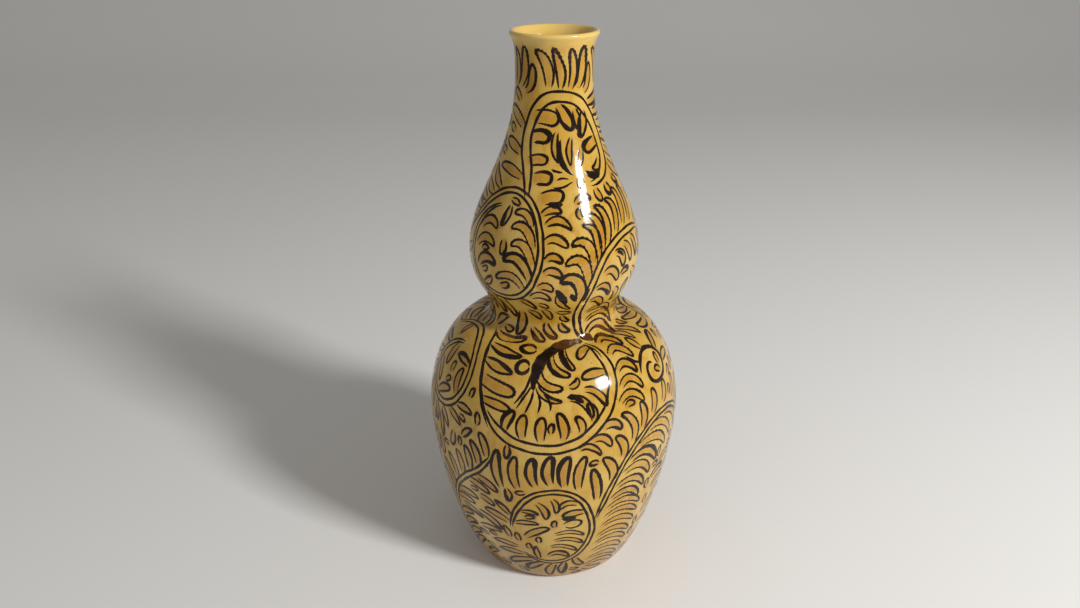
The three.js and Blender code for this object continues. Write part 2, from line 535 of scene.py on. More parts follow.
@dataclass(frozen=True)
class BrushedOxide:
    """Dark iron oxide laid on with a brush, brown where the line runs thin."""

    name: str = "brushed_oxide"
    core: Colour = (0.010, 0.0055, 0.0035)
    edge: Colour = (0.085, 0.032, 0.008)
    mottle_size: float = 1.3 * MM
    gloss_size: float = 14 * MM
    roughness: tuple[float, float] = (0.10, 0.2)
    shine: float = 0.22

    def material(self) -> bpy.types.Material:
        """Mixes the oxide."""
        made = Recipe(self.name)
        mottle = made.noise(self.mottle_size, 3, 0.6)
        across = made.maths("ADD", made.attribute("across"), made.remap(mottle, 0.3, 0.7, -0.18, 0.18))
        dry = made.remap(made.attribute("load"), 0.5, 0.1)
        paling = made.maths("MAXIMUM", made.remap(across, 0.6, 1.05), dry)
        colour = made.blend(paling, self.core, self.edge)
        roughness = made.remap(made.noise(self.gloss_size, 4, 0.65), 0.3, 0.7, *self.roughness)
        return made.finish(Base_Color=colour, Roughness=roughness, IOR=GLASS_INDEX,
                           Specular_IOR_Level=self.shine)


@dataclass
class Pot:
    """The thrown and glazed pot: clay sections, the bands that join them, and two coats of glaze."""

    outline: Outline = Outline()
    segments: int = 256
    coat: float = 0.4 * MM
    seat: float = 0.3 * MM
    skin: float = 0.06 * MM
    glaze_line: float = 3 * MM
    foot_ring_height: float = 6 * MM
    foot_ring_width: float = 7 * MM
    foot_bevel: float = 1.2 * MM
    neck_joint_rise: float = 40 * MM
    lute: float = 1.5 * MM
    seam_share: float = 0.45
    seam_points: int = 4
    lip_points: int = 7
    crease_margin: float = 0.5 * MM
    clay_thinning: int = 2
    coat_thinning: tuple[int, int, int] = (6, 5, 6)
    base_steps: int = 12
    tolerance: float = 0.1 * MM

    def check_frame(self) -> None:
        """Stops the script where the outline isn't the one that the frame holds."""
        _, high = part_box("outer_glaze")
        top = self.outline.roll_centre.y + self.outline.lip_roll
        misses = (high.x - self.outline.belly_radius, high.z - top)
        if any(abs(miss) > self.tolerance for miss in misses):
            raise ValueError("the outline doesn't match the frame")

    def clay_lines(self) -> tuple[Section, Section]:
        """Gives the outer and inner line of the clay wall."""
        depth = self.coat + self.seat
        return moved(self.outline.outside(), depth), moved(self.outline.inside(), -depth)

    def clay_ring(self, low: float, high: float) -> Section:
        """Cuts a level slice of the clay wall.

        Args:
            low: height of the lower face.
            high: height of the upper face.

        Returns:
            The closed section.
        """
        outside, inside = self.clay_lines()
        hidden = thinned(between(inside, low, high), self.clay_thinning)
        return [*between(outside, low, high), *reversed(hidden)]

    def foot_ring(self) -> Section:
        """Gives the foot ring's section, which stands on a level face with bevelled edges."""
        outside = between(self.clay_lines()[0], self.foot_bevel, self.foot_ring_height)
        bore = self.outline.foot_radius - self.coat - self.seat - self.foot_ring_width
        inner = Vector((bore, self.foot_bevel))
        toe = Vector((outside[0].x - self.foot_bevel, 0))
        heel = Vector((bore + self.foot_bevel, 0))
        rise = [inner.lerp(Vector((bore, self.foot_ring_height)), i / 4) for i in range(4, -1, -1)]
        return [heel, heel.lerp(toe, 0.5), toe, *outside, *rise]

    def lower_bulb(self) -> Section:
        """Gives the lower bulb's section, floor and wall in one."""
        base = self.foot_ring_height + self.seat
        outside, inside = self.clay_lines()
        wall = between(outside, base, self.outline.waist_joint)
        underside = [Vector((wall[0].x * i / self.base_steps, base)) for i in range(self.base_steps)]
        hollow = [p for p in inside if p.y < self.outline.waist_joint]
        rim = between(inside, hollow[-1].y, self.outline.waist_joint)[-1]
        return [*underside, *wall, rim, *reversed(thinned(hollow, self.clay_thinning))]

    def outer_coat(self) -> Section:
        """Gives the outer glaze's section, fine outside and coarser where the clay hides it.

        Past the lip's crest the front dips to the seam with the inner coat. The back keeps all its
        points in the waist's tight hollow, where a longer step would cut out through the front.

        Returns:
            The closed section.
        """
        line = [*self.outline.outside(), *self.outline.crest()[1:]]
        seam = moved(line, self.coat * self.seam_share)[-self.seam_points:]
        front = [*moved(line, self.skin)[:-self.seam_points], *seam]
        back = moved(line, self.coat)
        belly = self.outline.belly_height
        low = [between(part, self.glaze_line, belly) for part in (front, back)]
        high = [[p for p in part[:-self.lip_points] if p.y > belly] for part in (front, back)]
        crease = self.outline.waist_joint - self.outline.waist_fillet - self.crease_margin
        waist = self.outline.waist_joint + self.outline.joint_band
        below = [*low[1], *(p for p in high[1] if p.y < crease)]
        hollow = [p for p in high[1] if crease <= p.y <= waist]
        above = [*(p for p in high[1] if p.y > waist), *back[-self.lip_points:]]
        hidden = [*thinned(below, self.coat_thinning[0]), *hollow, *thinned(above, self.coat_thinning[1])]
        return [*low[0], *high[0], *front[-self.lip_points:], *reversed(hidden)]

    def inner_coat(self) -> Section:
        """Gives the inner glaze's section, with its smooth face towards the hollow."""
        face = moved(self.outline.inside(), -self.skin)
        back = moved(self.outline.inside(), -self.coat)
        face[0].x = 0
        back[0].x = 0
        return [*thinned(back, self.coat_thinning[2]), *reversed(face)]

    def build(self) -> list[bpy.types.Object]:
        """Builds and dresses every turned piece.

        Returns:
            The pieces, the outer glaze first.
        """
        clay = FiredClay().material()
        slip = FiredClay("joining_slip", body=(0.33, 0.18, 0.09), light=(0.42, 0.26, 0.14),
                         dark=(0.18, 0.09, 0.04)).material()
        outer = AmberGlaze().material(self.outline, washed=True)
        inner = AmberGlaze().material(self.outline, washed=False)
        waist_top = self.outline.waist_joint + self.outline.joint_band
        neck_joint = self.outline.bulb_height + self.neck_joint_rise
        neck_low = neck_joint + self.outline.joint_band
        crest = min(line[-1].y for line in self.clay_lines())
        waist_band, neck_band = (self.clay_ring(joint + self.seat, joint + self.seat + self.lute)
                                 for joint in (self.outline.waist_joint, neck_joint))
        plans = [
            ("glazed_wall", "outer_glaze", "glaze", self.outer_coat(), outer),
            ("glazed_hollow", "inner_glaze", "glaze", self.inner_coat(), inner),
            ("turned_foot_ring", "foot_ring", "clay", self.foot_ring(), clay),
            ("thrown_lower_bulb", "lower_bulb", "clay", self.lower_bulb(), clay),
            ("waist_joint_band", "waist_lute", "slip", waist_band, slip),
            ("thrown_upper_bulb", "upper_bulb", "clay", self.clay_ring(waist_top, neck_joint), clay),
            ("neck_joint_band", "neck_lute", "slip", neck_band, slip),
            ("thrown_neck", "neck", "clay", self.clay_ring(neck_low, crest), clay),
        ]
        pieces = []
        for name, node, slot, section, material in plans:
            segments = self.segments if slot == "glaze" else self.segments // 2
            piece = shown(name, turned(section, segments), material)
            pieces.append(ridden(piece, [node]))
            log.info("%s: %d faces", name, len(piece.data.polygons))
        return pieces


class Sheet:
    """The glazed surface laid out flat, as an angle round the axis and a way up the outline.

    A path on it is an array with a row for each point: the angle in radians, which is nought at the
    front and grows to the right, and the way up from the foot in metres.
    """

    curve_steps: int = 8
    fewest_points: int = 6
    walk_points: int = 13
    walk_curl: float = 1.3

    def __init__(self, outline: Outline, depth: float) -> None:
        """Measures the outline.

        Args:
            outline: the pot's outline.
            depth: how far the glaze's skin lies inside the outline.
        """
        line = outline.outside()
        flat = np.array([tuple(p) for p in line])
        skin = np.array([tuple(p) for p in moved(line, depth)])
        self.ways = np.concatenate([[0], np.cumsum(np.hypot(*np.diff(flat, axis=0).T))])
        self.radii, self.heights = skin.T
        along = np.gradient(skin, axis=0)
        along /= np.hypot(*along.T)[:, None]
        self.outward = np.stack([along[:, 1], -along[:, 0]], 1)

    def radius(self, way: np.ndarray) -> np.ndarray:
        """Gives the distance from the axis."""
        return np.interp(way, self.ways, self.radii)

    def solid(self, path: np.ndarray, lift: np.ndarray) -> np.ndarray:
        """Puts a path on the pot.

        Args:
            path: the flat path.
            lift: how far each point stands out from the glaze.

        Returns:
            The points in space.
        """
        angle, way = path.T
        out = [np.interp(way, self.ways, part) for part in self.outward.T]
        reach = self.radius(way) + out[0] * lift
        rise = np.interp(way, self.ways, self.heights) + out[1] * lift
        return np.stack([reach * np.sin(angle), -reach * np.cos(angle), rise], 1)

    def steps(self, path: np.ndarray) -> np.ndarray:
        """Gives the steps of a path in metres, round the axis and up the outline."""
        middle = self.radius((path[1:, 1] + path[:-1, 1]) / 2)
        return np.diff(path, axis=0) * np.stack([middle, np.ones_like(middle)], 1)

    def lengths(self, path: np.ndarray) -> np.ndarray:
        """Gives the length of a path up to each of its points."""
        return np.concatenate([[0], np.cumsum(np.hypot(*self.steps(path).T))])

    def headings(self, path: np.ndarray) -> np.ndarray:
        """Gives the direction of a path at each of its points, as unit vectors."""
        steps = self.steps(path)
        both = np.concatenate([steps[:1], (steps[1:] + steps[:-1]) / 2, steps[-1:]])
        return both / np.maximum(np.hypot(*both.T), 1e-9)[:, None]

    def shifted(self, path: np.ndarray, distance: np.ndarray | float) -> np.ndarray:
        """Moves a path to the left of its direction of travel."""
        along = self.headings(path)
        shift = np.stack([-along[:, 1] / self.radius(path[:, 1]), along[:, 0]], 1)
        return path + shift * np.broadcast_to(distance, len(path))[:, None]

    def resampled(self, path: np.ndarray, count: int, turn_reach: float = 0) -> np.ndarray:
        """Spaces the points of a path anew.

        Args:
            path: the path.
            count: number of points.
            turn_reach: metres that a radian of turning counts for, which brings points closer there.

        Returns:
            The path with so many points.
        """
        measure = self.lengths(path)
        if turn_reach:
            aims = np.unwrap(np.arctan2(*self.headings(path).T[::-1]))
            measure = measure + turn_reach * np.concatenate([[0], np.cumsum(np.abs(np.diff(aims)))])
        marks = np.linspace(0, measure[-1], count)
        return np.stack([np.interp(marks, measure, column) for column in path.T], 1)

    def part(self, path: np.ndarray, start: float, end: float) -> np.ndarray:
        """Cuts the part of a path between two shares of its length."""
        lengths = self.lengths(path)
        marks = np.linspace(start, end, max(3, int(len(path) * abs(end - start)))) * lengths[-1]
        return np.stack([np.interp(marks, lengths, column) for column in path.T], 1)

    def through(self, spots: Spots, turn: float) -> np.ndarray:
        """Draws a smooth path through chosen spots.

        Args:
            spots: degrees round the axis and millimetres up the outline.
            turn: degrees by which the whole path is turned round the axis.

        Returns:
            The path, with points about a millimetre apart.
        """
        flat = (np.array(spots) + (turn, 0)) * (math.pi / 180, MM)
        girth = float(np.mean(self.radius(flat[:, 1])))
        knots = [Vector((a * girth, s)) for a, s in flat]
        aims = [(after - before).normalized() for before, after in zip(knots, knots[2:])]
        first, last = ((b - a).normalized() for a, b in (knots[:2], knots[-2:]))
        aims = [2 * first * first.dot(aims[0]) - aims[0], *aims, 2 * last * last.dot(aims[-1]) - aims[-1]]
        line = [knots[0]]
        for i, (start, end) in enumerate(zip(knots, knots[1:])):
            third = (end - start).length / 3
            held = (start + aims[i] * third, end - aims[i + 1] * third)
            line += interpolate_bezier(start, *held, end, self.curve_steps + 1)[1:]
        path = np.array([(p.x / girth, p.y) for p in line])
        return self.resampled(path, max(self.fewest_points, int(self.lengths(path)[-1] / MM)))

    def walk(self, root: np.ndarray, heading: float, length: float, bend: float) -> np.ndarray:
        """Walks over the pot while turning.

        Args:
            root: where the walk starts.
            heading: first direction in radians, counted from straight round to the right.
            length: length of the walk.
            bend: how far the walk turns to the left in all.

        Returns:
            The path.
        """
        angle, way = root
        path = [(angle, way)]
        count = self.walk_points - 1
        step = length / count
        for i in range(count):
            aim = heading + bend * ((i + 0.5) / count) ** self.walk_curl
            angle += math.cos(aim) * step / float(self.radius(way))
            way += math.sin(aim) * step
            path.append((angle, way))
        return np.array(path)


@dataclass(frozen=True)
class Stroke:
    """One pull of the brush: its path, its width and how full the brush is along it."""

    path: np.ndarray
    width: np.ndarray
    load: np.ndarray


@dataclass(frozen=True)
class Brush:
    """A soft pointed brush whose line swells and thins with the pressure."""

    sheet: Sheet
    luck: random.Random
    line: float = 1.76 * MM
    wobble: float = 0.12 * MM
    rows: int = 21
    fewest_rows: int = 9
    row_length: float = 1.1 * MM
    turn_reach: float = 1.6 * MM
    wave_length: float = 18 * MM
    swell: float = 0.15
    swell_pace: float = 1.7
    full_load: float = 0.85
    load_swing: float = 0.35
    load_loss: float = 0.25
    dry_width: float = 1.6
    broad: float = 2.4 * MM
    ridge_least: float = 0.018 * MM
    ridge_most: float = 0.045 * MM
    ridge_slope: float = 0.03
    sunk: float = 0.012 * MM
    weld: float = 0.0005 * MM
    crisp: float = math.radians(120)

    def sway(self, share: np.ndarray, waves: float) -> np.ndarray:
        """Gives a slow random swing between about minus one and one.

        Args:
            share: shares of the way, from nought to one.
            waves: about how many swings there are.

        Returns:
            The values.
        """
        swing = np.zeros(len(share))
        for part in (1.0, 1.9):
            pace = math.tau * waves * part * self.luck.uniform(0.7, 1.3)
            swing += np.sin(share * pace + self.luck.uniform(0, math.tau)) / 2
        return swing

    def pull(self, path: np.ndarray, pressure: Sequence[tuple[float, float]], scale: float,
             rows: int = 0) -> Stroke:
        """Pulls the brush along a path.

        Args:
            path: where the brush goes.
            pressure: width of the line as a share of the brush's own, at shares of the way.
            scale: factor on the whole width.
            rows: number of points, or nought to have them evenly far apart.

        Returns:
            The stroke.
        """
        length = float(self.sheet.lengths(path)[-1])
        count = rows or max(self.fewest_rows, int(length / self.row_length))
        path = self.sheet.resampled(path, count, self.turn_reach if rows else 0)
        share = self.sheet.lengths(path)
        share /= share[-1]
        waves = max(1.0, length / self.wave_length)
        path = self.sheet.shifted(path, self.wobble * self.sway(share, waves))
        marks, values = zip(*pressure)
        swell = 1 + self.swell * self.sway(share, waves * self.swell_pace)
        width = np.interp(share, marks, values) * swell
        swing = self.load_swing * self.sway(share, waves)
        load = np.clip(self.full_load + swing - self.load_loss * share, 0, 1)
        wet = np.clip(width * self.dry_width * max(scale, 1), 0, 1)
        return Stroke(path, width * self.line * scale, load * wet)

    def laid(self, name: str, strokes: Sequence[Stroke], material: bpy.types.Material,
             across_at: Sequence[float]) -> bpy.types.Object:
        """Lays strokes on the glaze as thin closed ribbons with a low ridge.

        Args:
            name: the piece's name.
            strokes: the strokes.
            material: the finish, which reads how far across the line and how full the brush is.
            across_at: where the ribbon has points across its top, as shares of half its width.

        Returns:
            The new piece.
        """
        path = np.concatenate([s.path for s in strokes])
        half = np.concatenate([np.concatenate([[0], s.width[1:-1] / 2, [0]]) for s in strokes])
        load = np.concatenate([s.load for s in strokes])
        along = np.concatenate([self.sheet.headings(s.path) for s in strokes])
        side = np.stack([-along[:, 1] / self.sheet.radius(path[:, 1]), along[:, 0]], 1) * half[:, None]
        ridge = np.minimum(self.ridge_least + self.ridge_slope * half, self.ridge_most)
        lifts = [ridge - (ridge + self.sunk) * share ** 4 for share in across_at]
        columns = [(path + side * share, lift, abs(share)) for share, lift in zip(across_at, lifts)]
        columns.append(columns[0])
        made = bmesh.new()
        layers = made.verts.layers.float
        for title in ("across", "load"):
            layers.new(title)
        across_layer, load_layer = layers["across"], layers["load"]
        strips = len(across_at)
        grid = bmesh.ops.create_grid(made, x_segments=len(path) - 1, y_segments=strips, size=1)
        verts = iter(grid["verts"])
        for spots, lift, across in columns:
            for place, full in zip(self.sheet.solid(spots, lift).tolist(), load.tolist()):
                vert = next(verts)
                vert.co = place
                vert[across_layer] = across
                vert[load_layer] = full
        made.faces.ensure_lookup_table()
        ends = np.cumsum([len(s.path) for s in strokes])[:-1] - 1
        places = [int(end) + strip * (len(path) - 1) for end in ends for strip in range(strips)]
        bmesh.ops.delete(made, geom=[made.faces[place] for place in places], context="FACES")
        bmesh.ops.remove_doubles(made, verts=made.verts, dist=self.weld)
        return shown(name, made, material, self.crisp)


class Tip(Enum):
    """How a leaf ends: the two powers that close its outline, and how wide it starts."""

    POINTED = (0.8, 2.4, 0.3)
    ROUND = (0.5, 4.0, 0.5)
    BLUNT = (0.5, 9.0, 0.85)


@dataclass(frozen=True)
class Leaf:
    """One leaf of the scroll, from its middle line."""

    axis: np.ndarray
    width: float
    tip: Tip
    axis_steps: int = 60
    side_points: int = 41
    widest_at: float = 0.6

    def half_width(self, share: np.ndarray) -> np.ndarray:
        """Gives half the leaf's width at shares of its length."""
        close, power, opening = self.tip.value
        swell = opening + (1 - opening) * np.sin(np.minimum(share / self.widest_at, 1) * math.pi / 2)
        return self.width / 2 * swell * (1 - share ** power) ** close

    def sides(self, sheet: Sheet) -> tuple[np.ndarray, np.ndarray]:
        """Gives the leaf's left and right edge, both from root to tip."""
        axis = sheet.resampled(self.axis, self.axis_steps + 1)
        share = np.sin(np.linspace(0, math.pi / 2, self.side_points))
        marks = np.arange(self.axis_steps + 1)
        axis = np.stack([np.interp(share * self.axis_steps, marks, column) for column in axis.T], 1)
        half = self.half_width(share)
        return sheet.shifted(axis, half), sheet.shifted(axis, -half)

    def strokes(self, brush: Brush) -> list[Stroke]:
        """Draws the leaf's outline.

        Args:
            brush: the brush.

        Returns:
            A pair of strokes for a pointed leaf, and one loop for the others.
        """
        left, right = self.sides(brush.sheet)
        if brush.luck.random() < 0.5:
            left, right = right, left
        scale = brush.luck.uniform(0.85, 1.12) * min(1.05, 0.5 + self.width / (8.5 * MM))
        if self.tip is Tip.POINTED:
            heavy = brush.luck.uniform(0.95, 1.45)
            first = [(0, 0.35), (0.15, 0.8), (0.7, heavy), (0.92, heavy), (1, 0.4)]
            second = [(0, 0.3), (0.2, 0.8), (0.75, 0.95), (0.94, 0.75), (1, 0.3)]
            half = brush.rows // 2 + 1
            return [brush.pull(left, first, scale, half), brush.pull(right, second, scale, half)]
        heavy = brush.luck.uniform(1.0, 1.45)
        loop = np.concatenate([left, right[-2::-1]])
        pressure = [(0, 0.35), (0.08, 0.8), (0.38, 0.95), (0.5, 1.1), (0.6, heavy), (0.72, heavy * 0.85),
                    (0.88, 0.85), (1, 0.3)]
        return [brush.pull(loop, pressure, scale, brush.rows)]


class Room:
    """Keeps account of what is already painted, as discs on the pot."""

    most_discs: int = 60000
    chain_discs: int = 7
    slimmest: float = 0.5 * MM
    widest: float = 6 * MM
    line_step: float = 1.2 * MM

    def __init__(self, sheet: Sheet) -> None:
        """Starts with a bare pot."""
        self.sheet = sheet
        self.count = 0
        self.discs = np.zeros((self.most_discs, 4))

    def rings(self, leaf: Leaf, start: float, spare: float) -> np.ndarray:
        """Gives a chain of discs that covers a leaf, as places and radii."""
        share = np.linspace(start, 1, self.chain_discs)
        marks = share * (len(leaf.axis) - 1)
        path = np.stack([np.interp(marks, np.arange(len(leaf.axis)), column) for column in leaf.axis.T], 1)
        radius = np.maximum(leaf.half_width(share), self.slimmest) + spare
        return np.column_stack([self.sheet.solid(path, np.zeros(len(path))), radius])

    def keep(self, discs: np.ndarray) -> None:
        """Marks discs as painted."""
        self.discs[self.count:self.count + len(discs)] = discs
        self.count += len(discs)

    def is_free(self, discs: np.ndarray) -> bool:
        """Tells whether none of the discs touches what is painted."""
        low = discs[:, 2].min() - self.widest
        high = discs[:, 2].max() + self.widest
        kept = self.discs[:self.count]
        kept = kept[(kept[:, 2] > low) & (kept[:, 2] < high)]
        if not len(kept):
            return True
        apart = np.linalg.norm(kept[None, :, :3] - discs[:, None, :3], axis=2)
        return bool((apart >= kept[None, :, 3] + discs[:, None, 3]).all())

    def keep_line(self, path: np.ndarray, radius: float) -> None:
        """Marks a line as painted."""
        dense = self.sheet.resampled(path, max(2, int(self.sheet.lengths(path)[-1] / self.line_step)))
        places = self.sheet.solid(dense, np.zeros(len(dense)))
        self.keep(np.column_stack([places, np.full(len(dense), radius)]))


@dataclass(frozen=True)
class Stem:
    """A stem of the scroll: a brushed line, with a second one beside it where it has a gap."""

    spots: Spots
    gap: float = 0
    weight: float = 0.9
    forks_at: float = 0


@dataclass(frozen=True)
class Row:
    """Leaves that grow one after another from a side of a stem."""

    stem: int
    side: int
    count: int
    span: tuple[float, float]
    length: tuple[float, float]
    width: float
    lean: float
    bend: float
    tip: Tip = Tip.ROUND


@dataclass(frozen=True)
class Figure:
    """A part of the scroll: its stems, rows of leaves, single leaves and heavy dabs.

    Spots are in degrees round the pot, from the front to the right, and in millimetres up the
    outline. Widths, lengths and gaps are in millimetres, and leans and bends in degrees.
    """

    name: str
    stems: tuple[Stem, ...] = ()
    rows: tuple[Row, ...] = ()
    leaves: tuple[tuple[Spots, float, Tip], ...] = ()
    dabs: tuple[Stem, ...] = ()


COLLAR = Figure(
    "collar",
    leaves=(
        (((-8, 252.5), (-8.4, 258.5), (-15, 263.6), (-25.6, 266.6)), 4.3, Tip.ROUND),
        (((9, 252), (9.6, 258), (4.6, 263.5), (-2.6, 268.4)), 4.3, Tip.POINTED),
        (((22.6, 252), (28, 257), (27.6, 262.6), (24, 267.4)), 3.3, Tip.ROUND),
        (((34, 252.4), (43, 257.6), (44.4, 263), (45, 268)), 4.2, Tip.ROUND),
        (((44, 250.6), (53, 252.6), (57.4, 256.6), (57, 261.4)), 3.6, Tip.ROUND),
    ),
)

CROWN = Figure(
    "crown",
    stems=(
        Stem(((-24, 209), (-30.5, 219), (-37.5, 226.8), (-40, 234), (-35, 242.6), (-22, 248.6),
              (-5, 251.3), (15, 251.3), (35, 249.6), (52, 245), (63.5, 238.6), (68.6, 231),
              (66, 222), (56, 216.4), (44, 213.8), (33.6, 213.4)), -4.0),
    ),
    leaves=(
        (((-25, 241.4), (-9.5, 241.6), (5.6, 239.9)), 5.4, Tip.BLUNT),
        (((-27, 233), (-16.5, 234), (-6, 232.7)), 4.6, Tip.BLUNT),
        (((-26, 223.6), (-16.5, 225.2), (-7, 224.4)), 4.3, Tip.BLUNT),
        (((-18, 217), (-10, 217.8), (-2, 217.3)), 5.2, Tip.BLUNT),
        (((5.4, 246.4), (14.6, 241.8), (22.6, 236.9)), 4.6, Tip.ROUND),
        (((27.4, 244.4), (31, 241), (30.6, 236.8)), 3.2, Tip.ROUND),
        (((41, 243.4), (39.4, 238), (33, 232.6)), 4.4, Tip.POINTED),
        (((55.4, 231), (46, 229.8), (36.6, 228.2)), 4.4, Tip.BLUNT),
        (((53, 224.2), (48.4, 220.6), (41.6, 220.4)), 3.0, Tip.ROUND),
        (((3.4, 236), (0.6, 229.4), (5, 223.4)), 3.2, Tip.POINTED),
        (((20.4, 233.6), (16.6, 228), (17.6, 222)), 3.0, Tip.POINTED),
        (((31.6, 229), (29.4, 225.6), (26, 222.2)), 2.6, Tip.ROUND),
        (((-9.6, 209), (-1, 210.3), (7.6, 209.8)), 5.2, Tip.BLUNT),
        (((-9, 202.4), (-2, 204.8), (5.2, 203.8)), 3.3, Tip.ROUND),
        (((38, 212), (39, 209.5), (42, 206.5)), 3.4, Tip.ROUND),
        (((51, 213), (52.5, 210.5), (54, 208)), 3.4, Tip.ROUND),
    ),
    dabs=(
        Stem(((49.6, 218.4), (43, 217.1), (36, 217.9), (31.4, 219.8)), 0, 2.6),
        Stem(((7.6, 233), (6, 227.4), (8.4, 223.6), (13, 220.6), (19, 218.4)), 0, 1.9),
        Stem(((-3, 221.2), (1, 220.5), (8.6, 219.7)), 0, 1.1),
        Stem(((-1.6, 214.1), (7, 213.9), (18, 216.2)), 0, 1.0),
        Stem(((2, 216.6), (9, 217.6), (14, 216.8)), 0, 0.9),
        Stem(((-5, 207.5), (1.4, 206.9), (7.4, 207.4)), 0, 2.3),
    ),
)

SIDE_ROUNDEL = Figure(
    "side_roundel",
    stems=(
        Stem(((-44, 205), (-56, 202), (-66, 195), (-69, 184), (-64, 172), (-52, 165), (-36, 163.5),
              (-24, 165.5), (-15.2, 170.4), (-10.4, 176.6), (-7.4, 183), (-6.8, 190), (-8.4, 198),
              (-13.5, 205.6), (-22, 210.4), (-34, 212.6), (-48, 211), (-62, 205.4), (-75, 195),
              (-82, 184)), 2.2),
    ),
    rows=(
        Row(0, 1, 5, (0.12, 0.34), (11, 10), 4.0, 62, -60),
    ),
    leaves=(
        (((-15.6, 197.4), (-21, 203), (-29.6, 202.6)), 3.4, Tip.ROUND),
        (((-13.4, 188.4), (-17.4, 195.4), (-24, 198), (-30.4, 196.4)), 3.8, Tip.ROUND),
        (((-13.4, 181), (-17.6, 188), (-23, 190.6), (-29, 189)), 3.8, Tip.ROUND),
        (((-15, 174.6), (-19.6, 181.6), (-26, 184.4), (-33.4, 182.4)), 4.4, Tip.ROUND),
        (((-20, 170), (-26, 175.6), (-34, 176), (-40, 173.6)), 3.8, Tip.ROUND),
        (((-35, 205.6), (-36.4, 200.6), (-40, 196)), 3.0, Tip.POINTED),
        (((-60, 192.6), (-52, 197.4), (-43.6, 194.6)), 3.8, Tip.ROUND),
        (((-61.4, 184.4), (-52.6, 189.4), (-43, 187)), 4.0, Tip.ROUND),
        (((-58, 176), (-50, 181.2), (-41.4, 179.4)), 4.0, Tip.ROUND),
        (((-6, 198.2), (2, 200.9), (8, 199.4), (13, 196.4)), 3.7, Tip.POINTED),
        (((-5.8, 191.6), (0.6, 193.6), (9, 190)), 3.8, Tip.ROUND),
        (((-4.6, 184.4), (-0.4, 186.4), (5.4, 184)), 3.5, Tip.ROUND),
        (((-6, 178.4), (-1.4, 180), (4.6, 177)), 3.4, Tip.ROUND),
        (((-9.6, 172.2), (-5, 173.6), (-0.8, 171)), 3.5, Tip.ROUND),
    ),
)

BULB_FERN = Figure(
    "bulb_fern",
    stems=(
        Stem(((30, 140.6), (24, 142.4), (19.6, 145.6), (17.4, 150.4), (16.8, 154.5), (16.8, 159.7),
              (19.3, 166), (23.4, 173), (27, 179), (31.6, 184), (38, 187.8), (46.8, 190.8),
              (57, 192.4), (68.7, 192.2), (80, 189.5)), -2.8),
    ),
    leaves=(
        (((17.4, 164), (17.4, 171.4), (12.6, 176.4), (5, 175)), 4.8, Tip.ROUND),
        (((21.4, 171.6), (21, 180.4), (15.6, 184.6), (8, 182.4)), 4.2, Tip.ROUND),
        (((25, 177.4), (25.6, 186.2), (20, 191.4), (12, 190)), 4.4, Tip.ROUND),
        (((28.4, 182), (30.6, 190), (28, 196.2), (21, 198)), 3.6, Tip.ROUND),
        (((32.4, 185.6), (34.6, 193.4), (31.8, 200), (24.6, 202.6)), 3.4, Tip.ROUND),
        (((37.4, 188.4), (41, 195.6), (39.4, 202.2), (33, 205)), 3.8, Tip.ROUND),
        (((47, 191.8), (51.6, 198.6), (51.2, 204.6), (45, 206.6)), 3.6, Tip.ROUND),
        (((56, 193.4), (61.4, 200), (61.6, 206.6), (56.6, 210)), 3.6, Tip.ROUND),
        (((66, 193.4), (72, 200), (72.6, 206), (68, 209.4)), 3.6, Tip.ROUND),
        (((28.6, 169.4), (35, 170.8), (41.4, 164.6)), 3.8, Tip.POINTED),
        (((34.4, 176), (40.4, 177.2), (45.6, 171.6)), 3.9, Tip.ROUND),
        (((43.4, 183.6), (49.6, 182.6), (50.4, 177.2)), 4.2, Tip.ROUND),
        (((52.4, 187.2), (58, 184.4), (60.4, 178.2)), 3.8, Tip.ROUND),
        (((62.4, 188), (67.4, 184.4), (69, 178.2)), 3.6, Tip.ROUND),
        (((25.6, 163), (32, 164), (38.4, 157.6)), 3.6, Tip.POINTED),
        (((3.6, 170.4), (4.4, 164.4), (12.4, 160)), 3.6, Tip.POINTED),
    ),
    dabs=(
        Stem(((1.2, 172), (3.6, 169.6), (6.6, 166.4), (8.6, 163.4)), 0, 2.8),
        Stem(((11, 169.6), (13, 167.2), (15.8, 165)), 0, 2.0),
        Stem(((20.6, 164), (22, 168), (24, 171.4)), 0, 1.6),
        Stem(((45, 184.2), (48.6, 183.6), (51.6, 181.4)), 0, 1.6),
    ),
)

WAIST = Figure(
    "waist",
    leaves=(
        (((-6, 151), (-4.4, 146.8), (4, 144)), 3.6, Tip.POINTED),
        (((-18.6, 148), (-14, 144.4), (-6.6, 142.2)), 4.2, Tip.POINTED),
        (((5.6, 151), (8.6, 147.6), (15, 146.6)), 3.0, Tip.POINTED),
        (((-15.6, 166.6), (-9, 168.8), (-2.6, 166)), 3.2, Tip.ROUND),
        (((2, 158.6), (7, 157.4), (13.4, 157.8)), 2.8, Tip.POINTED),
        (((-8, 160.4), (-4, 157), (-2, 152.6)), 3.4, Tip.POINTED),
        (((6, 155.4), (9, 152.6), (13.6, 151.6)), 2.8, Tip.POINTED),
        (((-20, 158), (-15, 156.6), (-10.4, 152.4)), 3.6, Tip.POINTED),
    ),
    dabs=(
        Stem(((-18.4, 146.4), (-15, 142.9), (-9, 141.6)), 0, 1.8),
        Stem(((26, 143.6), (29.6, 142.2), (33.6, 140.4)), 0, 2.6),
    ),
)

